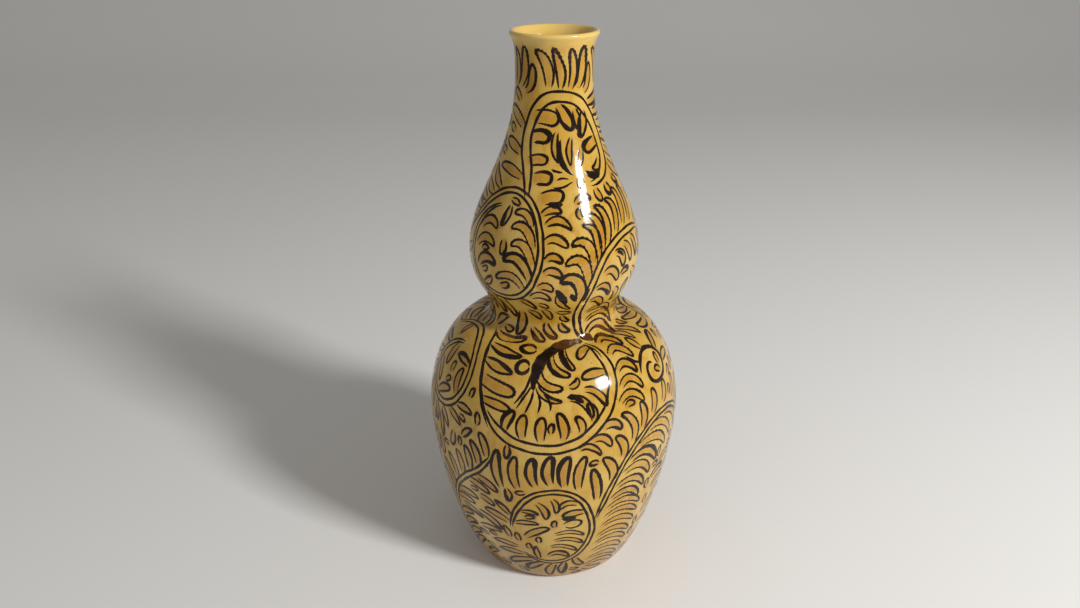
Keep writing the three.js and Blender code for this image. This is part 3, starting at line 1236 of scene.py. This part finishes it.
GREAT_ROUNDEL = Figure(
    "great_roundel",
    stems=(
        Stem(((-56, 141.6), (-48, 136.4), (-42.6, 129.6), (-39, 121), (-36, 113.6), (-32.4, 106),
              (-27.6, 99), (-21, 93.6), (-13, 91), (-4, 90), (4, 90.7), (12, 93.5), (19, 98.4),
              (25.6, 105), (30.4, 113), (32.7, 120.6), (32.6, 128), (29.6, 135),
              (24, 140)), 3.9, 0.95, 0.28),
    ),
    leaves=(
        (((6.6, 139), (6.8, 131.6), (11.6, 126.4)), 3.0, Tip.BLUNT),
        (((-1.6, 134.6), (0, 127.2), (8.4, 123.6)), 3.2, Tip.BLUNT),
        (((-8, 127.6), (-5, 120.6), (4.6, 118.6)), 3.2, Tip.BLUNT),
        (((-8.4, 119.6), (-3.6, 114.6), (4.4, 112.8)), 2.8, Tip.POINTED),
        (((26, 136.8), (20.4, 135.6), (15.6, 130.8)), 4.3, Tip.ROUND),
        (((28.6, 123), (21.6, 123.6), (15, 122.2)), 4.6, Tip.ROUND),
        (((14.4, 117), (20.4, 115.4), (24.4, 109)), 3.6, Tip.ROUND),
        (((6.4, 113.9), (13.4, 112.2), (17, 105)), 3.6, Tip.ROUND),
        (((-21, 98.4), (-20.6, 103), (-17.6, 107.4)), 4.2, Tip.ROUND),
        (((-13, 96), (-14, 101), (-12.6, 106.4)), 4.4, Tip.ROUND),
        (((-5, 95.4), (-5.6, 100.6), (-4.6, 106)), 4.5, Tip.ROUND),
        (((4, 96.4), (4.6, 102), (2, 108)), 4.5, Tip.ROUND),
        (((11.6, 98.6), (12.6, 102), (10, 106)), 3.4, Tip.ROUND),
        (((17.6, 103), (18, 107.6), (15.6, 111)), 3.4, Tip.ROUND),
        (((-52, 141.4), (-37, 139.4), (-22, 143.2)), 4.6, Tip.POINTED),
        (((-44.6, 133.4), (-30, 131.6), (-18.8, 131)), 5.0, Tip.POINTED),
        (((-40.6, 126.4), (-30, 124.4), (-21, 123)), 4.8, Tip.POINTED),
        (((-37.6, 117.6), (-27, 115.6), (-18.6, 115)), 5.2, Tip.BLUNT),
        (((-35, 109.4), (-26, 108.4), (-19.6, 107.4)), 4.4, Tip.ROUND),
    ),
    dabs=(
        Stem(((24, 140.9), (16, 141), (8, 140), (2, 138), (-3, 135), (-6.6, 131), (-8.8, 126.6),
              (-9.8, 121.6), (-9.4, 117)), 0, 4.6),
        Stem(((22, 139.4), (27, 135), (29.2, 128.6)), 0, 1.0),
        Stem(((-12, 136), (-14.6, 139), (-19, 139.2), (-22.8, 136.8), (-20.6, 134.4), (-16, 133.6),
              (-12, 134.8), (-11.8, 136.4)), 0, 1.9),
        Stem(((-13.4, 127), (-15, 129.4), (-18, 129.6), (-20.4, 127.4), (-19.6, 124.6),
              (-16.6, 123.8), (-13.8, 125.2), (-13.4, 127.4)), 0, 1.8),
        Stem(((-10, 120), (-13.6, 114), (-17, 108.6)), 0, 1.1),
        Stem(((-9.6, 118), (-10.4, 112.4), (-13, 107)), 0, 1.2),
        Stem(((-7.6, 117), (-6, 112), (-7, 107.6)), 0, 1.2),
        Stem(((-5, 116), (-1.4, 112.6), (-1.6, 108.6)), 0, 1.1),
        Stem(((-12, 124), (-13.6, 117), (-18.4, 110.4)), 0, 1.3),
        Stem(((-48, 135.4), (-43, 129), (-39.4, 121), (-36.4, 113.4), (-33.2, 105.6),
              (-28.6, 97.6)), 0, 1.6),
        Stem(((6, 139.4), (5.8, 132), (10.6, 126)), 0, 1.9),
        Stem(((-2.6, 134), (-1, 126.4), (7.4, 122.8)), 0, 1.8),
        Stem(((6, 114.6), (10, 114.4), (14, 111.6)), 0, 2.1),
    ),
)

RIGHT_SHOULDER = Figure(
    "right_shoulder",
    stems=(
        Stem(((60, 117), (56.4, 118.4), (53.4, 115.6), (54.4, 111), (60, 108.6), (67, 110.6),
              (70.4, 116.6), (67, 122.4), (60, 124.8), (53, 122.4), (48.4, 116)), 0, 1.2),
    ),
    rows=(
        Row(0, -1, 6, (0.5, 0.98), (10, 11), 4.0, 40, 40, Tip.ROUND),
    ),
    leaves=(
        (((29, 143.4), (38, 147.4), (48, 146), (56, 139.6)), 3.8, Tip.ROUND),
        (((28, 149), (38, 153), (50, 151.6), (62, 143.6)), 3.8, Tip.POINTED),
        (((33.6, 136.6), (39.4, 140), (45, 137.6), (48, 131.6)), 3.8, Tip.ROUND),
        (((34.6, 128.4), (40, 132), (45.4, 129.6), (49, 124.6)), 3.6, Tip.ROUND),
        (((34.6, 121), (39.4, 124.4), (44, 122.8), (46.4, 118.6)), 3.4, Tip.ROUND),
        (((33.6, 114), (38.6, 117.4), (43.4, 115.6), (46.4, 111)), 3.6, Tip.ROUND),
        (((31, 107.6), (36.4, 111.2), (41.6, 109.6), (45, 105)), 3.6, Tip.ROUND),
        (((52, 140.6), (58, 136.4), (61.6, 130.4)), 3.8, Tip.POINTED),
        (((60, 141.4), (66.4, 136.6), (70, 129.6)), 3.8, Tip.POINTED),
        (((26.4, 155), (36, 158.4), (47, 156.4), (56, 150.6)), 3.6, Tip.POINTED),
    ),
    dabs=(
        Stem(((44, 126.6), (47.6, 122.6), (52, 120.8)), 0, 1.5),
        Stem(((56, 123.8), (61, 124.7), (66.6, 122.4)), 0, 1.9),
    ),
)

BELLY_STEM = Figure(
    "belly_stem",
    stems=(
        Stem(((20, 50), (22, 59), (24.6, 67), (28, 75), (32, 82), (37, 87.8), (43, 92.4),
              (50, 95.6), (58.3, 96.4), (66, 94.6), (73, 90.4), (79, 83)), -2.2),
    ),
    leaves=(
        (((11, 91), (15.6, 92.4), (20.6, 87)), 3.4, Tip.POINTED),
        (((16.6, 94.4), (21.4, 95.4), (25, 90.6)), 3.4, Tip.ROUND),
        (((22, 99.4), (26.6, 101), (30.4, 97.4)), 3.8, Tip.ROUND),
        (((31, 83), (31.6, 89), (27.6, 94.2)), 4.2, Tip.ROUND),
        (((35.6, 88.6), (37.6, 95), (34.8, 101), (31, 103)), 3.8, Tip.ROUND),
        (((41.6, 93.2), (44, 99.4), (42.6, 105.4)), 4.2, Tip.ROUND),
        (((49, 97), (52, 102.4), (51.4, 107.6)), 4.2, Tip.ROUND),
        (((58, 98.4), (61.6, 102.8), (62, 107.6)), 3.8, Tip.ROUND),
        (((67, 96.4), (71.4, 100.4), (73, 105.2)), 3.8, Tip.ROUND),
        (((38.6, 84), (46.4, 86.4), (54.4, 83.6), (60, 76.4)), 4.4, Tip.ROUND),
        (((35, 79), (42, 81.6), (48.6, 78.6), (53, 71.6)), 4.2, Tip.ROUND),
        (((31.6, 73), (38.4, 75.8), (44.6, 73), (48.6, 66)), 4.0, Tip.ROUND),
        (((28.6, 66), (35, 69.2), (41.6, 67), (46, 60.4)), 3.8, Tip.ROUND),
        (((26.4, 59.4), (32.6, 62.8), (39, 61), (43.6, 54.8)), 3.6, Tip.ROUND),
        (((44.6, 90), (52.6, 91.6), (60.4, 87.4), (65, 79)), 3.8, Tip.ROUND),
        (((56, 93), (64, 92.2), (70, 86.6), (72.6, 78)), 3.6, Tip.ROUND),
        (((-7.6, 72), (-9.8, 79.6), (-8.4, 86.8)), 4.7, Tip.ROUND),
        (((-1, 73.4), (-2.6, 80.6), (-0.8, 88.2)), 4.7, Tip.ROUND),
        (((5.2, 72.6), (4.4, 80.4), (6.8, 88.4)), 4.7, Tip.ROUND),
        (((11.4, 70.4), (10.8, 79), (13.6, 87.8)), 4.6, Tip.ROUND),
        (((19.8, 62), (19, 71), (16.8, 80.6)), 4.6, Tip.ROUND),
        (((26, 71.6), (26.2, 79), (21.4, 85.4)), 4.6, Tip.ROUND),
        (((-15, 69.6), (-17.4, 78), (-16, 87)), 4.7, Tip.ROUND),
        (((-22.6, 68), (-25, 77.6), (-24, 88.6)), 4.6, Tip.ROUND),
    ),
)

LOW_ROUNDEL = Figure(
    "low_roundel",
    stems=(
        Stem(((-21, 44), (-19, 54), (-15, 62), (-8.5, 68.4), (0, 70.8), (7.6, 69.2), (13.4, 64.2),
              (17.2, 57), (19.6, 49.6), (20.6, 41.6), (19.4, 34), (16.6, 27.6), (11.8, 22),
              (5, 18.6), (-3, 18), (-10.6, 20.4), (-16.4, 26)), -2.3),
        Stem(((5.6, 47.6), (9, 46), (13, 48), (13, 50.6), (9, 51.6), (5.8, 50),
              (5.2, 48.4)), 0, 0.9),
    ),
    rows=(
        Row(0, -1, 6, (0.03, 0.24), (12, 12), 3.4, 52, 40, Tip.POINTED),
        Row(0, -1, 6, (0.68, 0.98), (11, 11), 3.2, 52, 30, Tip.POINTED),
    ),
    leaves=(
        (((-8, 62.4), (-4, 58), (-3.6, 52.4)), 3.2, Tip.ROUND),
        (((-1, 65.4), (1.4, 61.6), (1.4, 57)), 3.0, Tip.ROUND),
        (((11.6, 61.4), (6.4, 63), (3.2, 59.4)), 3.0, Tip.ROUND),
        (((14.6, 56), (9, 56), (4.4, 54.2)), 3.8, Tip.ROUND),
        (((0.6, 41.4), (8, 43.4), (15.4, 40)), 2.6, Tip.ROUND),
        (((0, 36.6), (7.6, 38), (15, 33.8)), 2.6, Tip.ROUND),
        (((-1.6, 32.2), (5.6, 33.2), (12.8, 28.6)), 2.6, Tip.ROUND),
        (((-2, 24.4), (2.6, 27.6), (8.4, 24)), 3.4, Tip.ROUND),
    ),
    dabs=(
        Stem(((3.8, 53), (7.6, 52.4), (11, 53.4)), 0, 2.0),
    ),
)

FAN = Figure(
    "fan",
    leaves=tuple(
        (((19.6 + rise * 0.14, 11 + rise), (27 + rise * 0.12, 14.4 + rise), (35 + rise * 0.1, 12.6 + rise),
          (42.6 + rise * 0.09, 6.6 + rise)), 3.5, Tip.ROUND)
        for rise in (0.0, 6.2, 12.4, 18.6, 24.8, 31.0, 37.2, 43.0)
    ),
)

SHOULDER_ROUNDEL = Figure(
    "shoulder_roundel",
    stems=(
        Stem(((-62, 127), (-71, 125), (-78, 118), (-78, 107), (-71, 98.6), (-61, 96.4),
              (-51.4, 100), (-45.6, 107.6), (-44, 116), (-46.4, 124.4), (-52, 131.4),
              (-60.4, 136.4), (-71, 138), (-81, 135), (-89, 128)), 2.6),
    ),
    rows=(
        Row(0, 1, 9, (0.16, 0.62), (12, 12), 4.0, 62, -50, Tip.ROUND),
        Row(0, -1, 9, (0.1, 0.5), (12, 11), 3.8, 44, 36, Tip.POINTED),
    ),
)

BELLY_FERN = Figure(
    "belly_fern",
    stems=(
        Stem(((-52, 8), (-57, 22), (-58, 38), (-52, 54), (-42, 66), (-33, 74), (-27, 84)), 2.4),
    ),
    rows=(
        Row(0, -1, 12, (0.05, 0.97), (15, 12), 4.0, 42, 42, Tip.ROUND),
        Row(0, 1, 12, (0.05, 0.97), (15, 12), 4.0, 42, 42, Tip.ROUND),
    ),
)

FIGURES = (CROWN, SIDE_ROUNDEL, BULB_FERN, WAIST, GREAT_ROUNDEL, RIGHT_SHOULDER, BELLY_STEM,
           LOW_ROUNDEL, FAN, SHOULDER_ROUNDEL, BELLY_FERN)

# Degrees round the pot at which the figures and the neck's upright leaves are repeated.
FIGURE_TURNS = (0, 180)
COLLAR_TURNS = (0, 90, 180, 270)

# The zones, and how many millimetres up the outline all but the last one end.
ZONES = ("foot", "belly", "shoulder", "bulb", "neck")
ZONE_TOPS = (45, 95, 148, 212)

# How hard the brush presses along a dab, and where a ribbon has its points, in half widths.
DAB_PRESSURE = ((0, 0.3), (0.25, 0.9), (0.6, 1), (0.85, 0.7), (1, 0.2))
LINE_COLUMNS = (-1, 0, 1)
BROAD_COLUMNS = (-1, -0.8, -0.4, 0, 0.4, 0.8, 1)

# The sizes tried for a leaf on a stem, and for one between them: length, width and turn aside.
SHRINKS = (1, 0.85, 0.72, 0.6, 0.5)
FILL_LEAVES = (
    (14, 4.2, 0), (14, 4.2, 0.6), (14, 4.2, -0.6),
    (11, 4.1, 0), (11, 4.1, 0.8), (11, 4.1, -0.8),
    (8.5, 3.6, 0), (8.5, 3.6, 1.2), (8.5, 3.6, -1.2),
    (6.5, 3.2, 0), (6.5, 3.2, 1.6), (5, 2.9, 0), (5, 2.9, 1.6),
)


@dataclass
class Scroll:
    """The foliate scroll that is brushed all over the pot, the same in front and at the back.

    Lengths named way run up the outline from the foot. A leaf's root share is the part of it, from
    the root, that may lie on what is painted already. A pair of numbers holds the least and the
    most of a random choice, in degrees for leans and bends and in millimetres for lengths.
    """

    sheet: Sheet
    seed: int = 7
    drawn_shift: tuple[float, float] = (-0.25, 0.25)
    drawn_width: tuple[float, float] = (0.93, 1.07)
    row_lean: tuple[float, float] = (-5, 5)
    row_bend: tuple[float, float] = (0.8, 1.2)
    sprout_lean: tuple[float, float] = (42, 62)
    sprout_bend: tuple[float, float] = (18, 52)
    sprout_length: tuple[float, float] = (11, 15)
    fill_turn: tuple[float, float] = (-0.2, 0.2)
    wash_depth: tuple[float, float] = (0.7, 1)
    stem_reach: float = 0.7 * MM
    stem_taper: float = 5 * MM
    stem_swell: float = 0.3 * MM
    dab_swell: float = 0.35 * MM
    dab_share: float = 0.78
    beside_step: float = 2 * MM
    fork_pace: float = 6
    fork_least: float = 0.35
    root_gap: float = 0.6 * MM
    root_look: float = 0.01
    kept_root: float = 0.12
    grown_root: float = 0.42
    washed_root: float = 0.15
    spare: float = 1.2 * MM
    fill_spare: float = 0.8
    fill_tries: int = 9000
    fill_spot: float = 1.4 * MM
    sprout_gap: float = 5.0 * MM
    sprout_width: float = 4.2 * MM
    foot_way: float = 4.5 * MM
    collar_way: float = 268 * MM
    wash_spread: float = 0.9 * MM
    wash_edge: float = 1.7

    def __post_init__(self) -> None:
        """Takes up the brush."""
        self.luck = random.Random(self.seed)
        self.brush = Brush(self.sheet, self.luck)
        self.room = Room(self.sheet)
        self.leaves: list[Leaf] = []
        self.strokes: list[Stroke] = []
        self.edges: list[tuple[np.ndarray, int]] = []

    def put(self, leaf: Leaf) -> None:
        """Paints a leaf and marks its place."""
        self.leaves.append(leaf)
        self.strokes += leaf.strokes(self.brush)
        self.room.keep(self.room.rings(leaf, self.kept_root, 0))

    def line(self, path: np.ndarray, weight: float) -> None:
        """Paints a stem's line and marks its place."""
        ends = min(0.2, self.stem_taper / float(self.sheet.lengths(path)[-1]))
        pressure = [(0, 0.35), (ends, 1), (1 - ends, 1), (1, 0.3)]
        self.strokes.append(self.brush.pull(path, pressure, weight))
        self.room.keep_line(path, self.stem_reach + self.stem_swell * (weight - 1))

    def stem(self, plan: Stem, turn: float) -> tuple[np.ndarray, np.ndarray]:
        """Paints a stem.

        Args:
            plan: the stem.
            turn: degrees by which it is turned round the pot.

        Returns:
            Its left and its right line, which are the same where it has only one.
        """
        first = self.sheet.through(plan.spots, turn)
        self.line(first, plan.weight)
        if not plan.gap:
            return first, first
        beside = self.sheet.part(first, plan.forks_at, 1)
        share = np.linspace(0, 1, len(beside))
        opening, closing = (np.minimum(1, self.fork_least + way * self.fork_pace)
                            for way in (share, 1 - share))
        second = self.sheet.shifted(beside, plan.gap * MM * opening * closing)
        count = int(self.sheet.lengths(second)[-1] / self.beside_step)
        second = self.sheet.resampled(second, max(self.sheet.fewest_points, count))
        self.line(second, plan.weight)
        return (second, first) if plan.gap > 0 else (first, second)

    def grown(self, line: np.ndarray, share: float, side: int, length: float, width: float,
              lean: float, bend: float, tip: Tip) -> Leaf:
        """Grows a leaf from a line.

        Args:
            line: the line that it grows from.
            share: where on the line, as a share of its length.
            side: one for the left of the line's direction, minus one for the right.
            length: the leaf's length.
            width: its width.
            lean: degrees between the line's direction and the leaf's.
            bend: degrees by which it bends further away, or back where negative.
            tip: its end.

        Returns:
            The leaf.
        """
        near = self.sheet.part(line, max(0.0, share - self.root_look), min(1.0, share + self.root_look))
        along = self.sheet.headings(near)[1]
        heading = math.atan2(along[1], along[0]) + side * math.radians(lean)
        round_way = math.cos(heading) / float(self.sheet.radius(near[1][1]))
        root = near[1] + self.root_gap * np.array((round_way, math.sin(heading)))
        axis = self.sheet.walk(root, heading, length, side * math.radians(bend))
        return Leaf(axis, width, tip)

    def row(self, plan: Row, line: np.ndarray) -> None:
        """Paints a row of leaves where they have room."""
        for i in range(plan.count):
            share = i / max(1, plan.count - 1)
            place = plan.span[0] + (plan.span[1] - plan.span[0]) * share
            length = (plan.length[0] + (plan.length[1] - plan.length[0]) * share) * MM
            lean = plan.lean + self.luck.uniform(*self.row_lean)
            bend = plan.bend * self.luck.uniform(*self.row_bend)
            self.fit(line, place, plan.side, length, plan.width * MM, lean, bend, plan.tip)

    def fit(self, line: np.ndarray, place: float, side: int, length: float, width: float,
            lean: float, bend: float, tip: Tip) -> None:
        """Paints a leaf from a line, shorter where there is little room.

        Args:
            line: the line that it grows from.
            place: where on the line.
            side: the side of the line.
            length: the wanted length.
            width: the wanted width.
            lean: degrees between the line's direction and the leaf's.
            bend: degrees by which it bends.
            tip: its end.
        """
        for shrink in SHRINKS:
            leaf = self.grown(line, place, side, length * shrink, width * shrink ** 0.5, lean, bend, tip)
            if self.inside(leaf) and self.room.is_free(self.room.rings(leaf, self.grown_root, self.spare)):
                self.put(leaf)
                return

    def inside(self, leaf: Leaf) -> bool:
        """Tells whether a leaf stays between the foot and the bare rim of the neck."""
        ways = leaf.axis[:, 1]
        return bool(ways.min() > self.foot_way and ways.max() < self.collar_way)

    def figure(self, plan: Figure, turn: float) -> None:
        """Paints one figure of the scroll, turned round the pot by some degrees."""
        lines = [self.stem(stem, turn) for stem in plan.stems]
        for stem in plan.dabs:
            path = self.sheet.through(stem.spots, turn)
            self.strokes.append(self.brush.pull(path, DAB_PRESSURE, stem.weight * self.dab_share))
            self.room.keep_line(path, self.stem_reach + self.dab_swell * (stem.weight - 1))
        for spots, width, tip in plan.leaves:
            shift = self.luck.uniform(*self.drawn_shift)
            axis = self.sheet.through([(a + shift, s + shift) for a, s in spots], turn)
            self.put(Leaf(axis, width * MM * self.luck.uniform(*self.drawn_width), tip))
        for row in plan.rows:
            self.row(row, lines[row.stem][0 if row.side > 0 else 1])
        for left, right in lines:
            self.edges += [(left, 1), (right, -1)]

    def sprout(self) -> None:
        """Grows leaves from both sides of every stem, wherever there is room."""
        for line, side in self.edges:
            length = float(self.sheet.lengths(line)[-1])
            count = max(2, int(length / self.sprout_gap))
            for i in range(count):
                place = (i + 0.5) / count
                lean = self.luck.uniform(*self.sprout_lean)
                bend = self.luck.uniform(*self.sprout_bend)
                tip = self.luck.choice((Tip.POINTED, Tip.ROUND, Tip.ROUND))
                reach = self.luck.uniform(*self.sprout_length) * MM
                self.fit(line, place, side, reach, self.sprout_width, lean, bend, tip)

    def spread(self) -> None:
        """Fills what is left bare with leaves that follow their neighbours."""
        middles = [leaf.axis[len(leaf.axis) // 2] for leaf in self.leaves]
        aims = [self.sheet.headings(leaf.axis)[[0, -1]] for leaf in self.leaves]
        tree = KDTree(self.fill_tries + len(middles))
        places = self.sheet.solid(np.array(middles), np.zeros(len(middles)))
        for i, place in enumerate(places):
            tree.insert(place, i)
        tree.balance()
        for i in range(1, self.fill_tries):
            way = self.foot_way + (self.collar_way - self.foot_way) * halton(i, 3)
            spot = np.array((math.tau * halton(i, 2), way))
            place = self.sheet.solid(spot[None], np.zeros(1))[0]
            if not self.room.is_free(np.array([(*place, self.fill_spot)])):
                continue
            near = tree.find(place)[1]
            start, end = aims[near]
            heading = math.atan2(start[1], start[0]) + self.luck.uniform(*self.fill_turn)
            bend = math.atan2(start[0] * end[1] - start[1] * end[0], float(start @ end))
            for length, width, aside in FILL_LEAVES:
                axis = self.sheet.walk(spot, heading + aside, length * MM, bend)
                leaf = Leaf(axis, width * MM, self.luck.choice((Tip.POINTED, Tip.ROUND)))
                rings = self.room.rings(leaf, 0, self.spare * self.fill_spare)
                if self.inside(leaf) and self.room.is_free(rings):
                    self.put(leaf)
                    break

    def paint(self) -> None:
        """Paints the whole scroll: figures, the neck's upright leaves, and what fills the room between."""
        for turn in FIGURE_TURNS:
            for plan in FIGURES:
                self.figure(plan, turn)
                log.info("%s at %d degrees: %d strokes so far", plan.name, turn, len(self.strokes))
        for turn in COLLAR_TURNS:
            self.figure(COLLAR, turn)
        self.sprout()
        log.info("leaves on the stems: %d strokes so far", len(self.strokes))
        self.spread()
        log.info("leaves between: %d strokes so far", len(self.strokes))

    def build(self) -> list[bpy.types.Object]:
        """Lays the strokes on the pot, zone by zone, with the widest ones apart.

        Returns:
            A piece for each zone and one for the widest strokes.
        """
        material = BrushedOxide().material()
        zones: dict[str, list[Stroke]] = defaultdict(list)
        for stroke in self.strokes:
            way = float(np.mean(stroke.path[:, 1])) / MM
            name = ZONES[int(np.searchsorted(ZONE_TOPS, way))]
            zones["broad" if stroke.width.max() > self.brush.broad else name].append(stroke)
        pieces = []
        for name, strokes in zones.items():
            across_at = BROAD_COLUMNS if name == "broad" else LINE_COLUMNS
            piece = ridden(self.brush.laid(f"brushwork_{name}", strokes, material, across_at))
            log.info("%s: %d strokes, %d faces", piece.name, len(strokes), len(piece.data.polygons))
            pieces.append(piece)
        return pieces

    def wash(self, wall: bpy.types.Object) -> None:
        """Writes to the glaze's points how deep the ochre of the leaves is there."""
        points = np.empty(len(wall.data.vertices) * 3)
        wall.data.vertices.foreach_get("co", points)
        tree = KDTree(len(wall.data.vertices))
        for i, place in enumerate(points.reshape(-1, 3)):
            tree.insert(place, i)
        tree.balance()
        depth = np.zeros(len(wall.data.vertices))
        for leaf in self.leaves:
            full = self.luck.uniform(*self.wash_depth)
            for *place, radius in self.room.rings(leaf, self.washed_root, self.wash_spread):
                for _, i, apart in tree.find_range(place, radius):
                    depth[i] = max(depth[i], full * min(1.0, self.wash_edge * (1 - apart / radius)))
        layer = wall.data.attributes.new("wash", "FLOAT", "POINT")
        layer.data.foreach_set("value", depth)


def halton(index: int, base: int) -> float:
    """Gives a number of an evenly scattered sequence between nought and one."""
    result, share = 0.0, 1.0
    while index:
        share /= base
        result += share * (index % base)
        index //= base
    return result


@dataclass(frozen=True)
class Lamp:
    """A square lamp that faces the pot's middle.

    Its side is in degrees round the pot, from the camera's side towards the right, and its rise in
    degrees above the level of the pot's middle.
    """

    name: str
    side: float
    rise: float
    distance: float
    size: float
    power: float

    def hang(self, target: Vector) -> None:
        """Hangs the lamp and turns it to the target."""
        data = bpy.data.lights.new(self.name, "AREA")
        data.size = self.size
        data.energy = self.power
        turn, tip = math.radians(self.side), math.radians(self.rise)
        away = Vector((math.sin(turn) * math.cos(tip), -math.cos(turn) * math.cos(tip), math.sin(tip)))
        lamp = bpy.data.objects.new(self.name, data)
        lamp.location = target + away * self.distance
        lamp.rotation_euler = (-away).to_track_quat("-Z", "Y").to_euler()
        bpy.context.scene.collection.objects.link(lamp)


@dataclass(frozen=True)
class Studio:
    """A pale floor, a small soft key light, broad fill and the camera."""

    floor_tone: Colour = (0.80, 0.785, 0.76)
    floor_shade: float = 0.985
    floor_reach: float = 3.0
    floor_cells: int = 24
    floor_dullness: float = 0.75
    floor_grain: float = 3 * MM
    floor_grain_depth: float = 0.02 * MM
    rise_start: float = 1.2
    rise_rate: float = 0.9
    pot_middle: float = 0.13
    key: Lamp = Lamp("key", side=54, rise=30, distance=1.2, size=0.20, power=14.5)
    fill: Lamp = Lamp("fill", side=-60, rise=35, distance=1.8, size=1.6, power=1.6)
    room_tone: Colour = (1, 0.985, 0.96)
    room_light: float = 0.28
    lens: float = 27.87
    film_width: float = 36
    nearest: float = 0.01
    camera_place: tuple[float, float, float] = (0, -0.3478, 0.2936)
    pitch: float = 25.36
    yaw: float = 1.03
    roll: float = -0.28

    def floor(self) -> None:
        """Lays a floor that rises in a soft curve far behind the pot."""
        made = bmesh.new()
        bmesh.ops.create_grid(made, x_segments=self.floor_cells, y_segments=self.floor_cells,
                              size=self.floor_reach)
        for vert in made.verts:
            past = max(0.0, vert.co.y - self.rise_start)
            vert.co.z = self.rise_rate * past * past
        recipe = Recipe("studio_floor")
        tone = recipe.noise(0.5, 3, 0.5)
        darker = tuple(self.floor_shade * part for part in self.floor_tone)
        colour = recipe.blend(recipe.remap(tone, 0.3, 0.7), self.floor_tone, darker)
        tooth = recipe.bump(recipe.noise(self.floor_grain, 2, 0.5), self.floor_grain_depth)
        finish = recipe.finish(Base_Color=colour, Roughness=self.floor_dullness, Normal=tooth)
        shown("floor", made, finish)

    def lights(self) -> None:
        """Sets the lamps and the even light of the room."""
        for lamp in (self.key, self.fill):
            lamp.hang(Vector((0, 0, self.pot_middle)))
        world = bpy.data.worlds.new("room")
        world.use_nodes = True
        back = world.node_tree.nodes["Background"]
        back.inputs["Color"].default_value = (*self.room_tone, 1)
        back.inputs["Strength"].default_value = self.room_light
        bpy.context.scene.world = world

    def camera(self) -> None:
        """Places the camera where the photograph was taken from."""
        data = bpy.data.cameras.new("view")
        data.sensor_fit = "HORIZONTAL"
        data.sensor_width = self.film_width
        data.lens = self.lens
        data.clip_start = self.nearest
        camera = bpy.data.objects.new("view", data)
        turn = Matrix.Rotation(math.radians(self.yaw), 4, "Z")
        tip = Matrix.Rotation(math.radians(90 - self.pitch), 4, "X")
        lean = Matrix.Rotation(math.radians(self.roll), 4, "Z")
        camera.matrix_world = Matrix.Translation(self.camera_place) @ turn @ tip @ lean
        bpy.context.scene.collection.objects.link(camera)
        bpy.context.scene.camera = camera

    def build(self) -> None:
        """Sets up floor, lights, camera and the way colours are shown."""
        self.floor()
        self.lights()
        self.camera()
        bpy.context.scene.view_settings.view_transform = "Standard"


def main() -> None:
    """Builds the pot, its brushwork and the studio."""
    logging.basicConfig(level=logging.INFO, format="%(name)s %(message)s")
    pot = Pot()
    pot.check_frame()
    wall = pot.build()[0]
    scroll = Scroll(Sheet(pot.outline, pot.skin))
    scroll.paint()
    scroll.wash(wall)
    scroll.build()
    Studio().build()


if __name__ == "__main__":
    main()
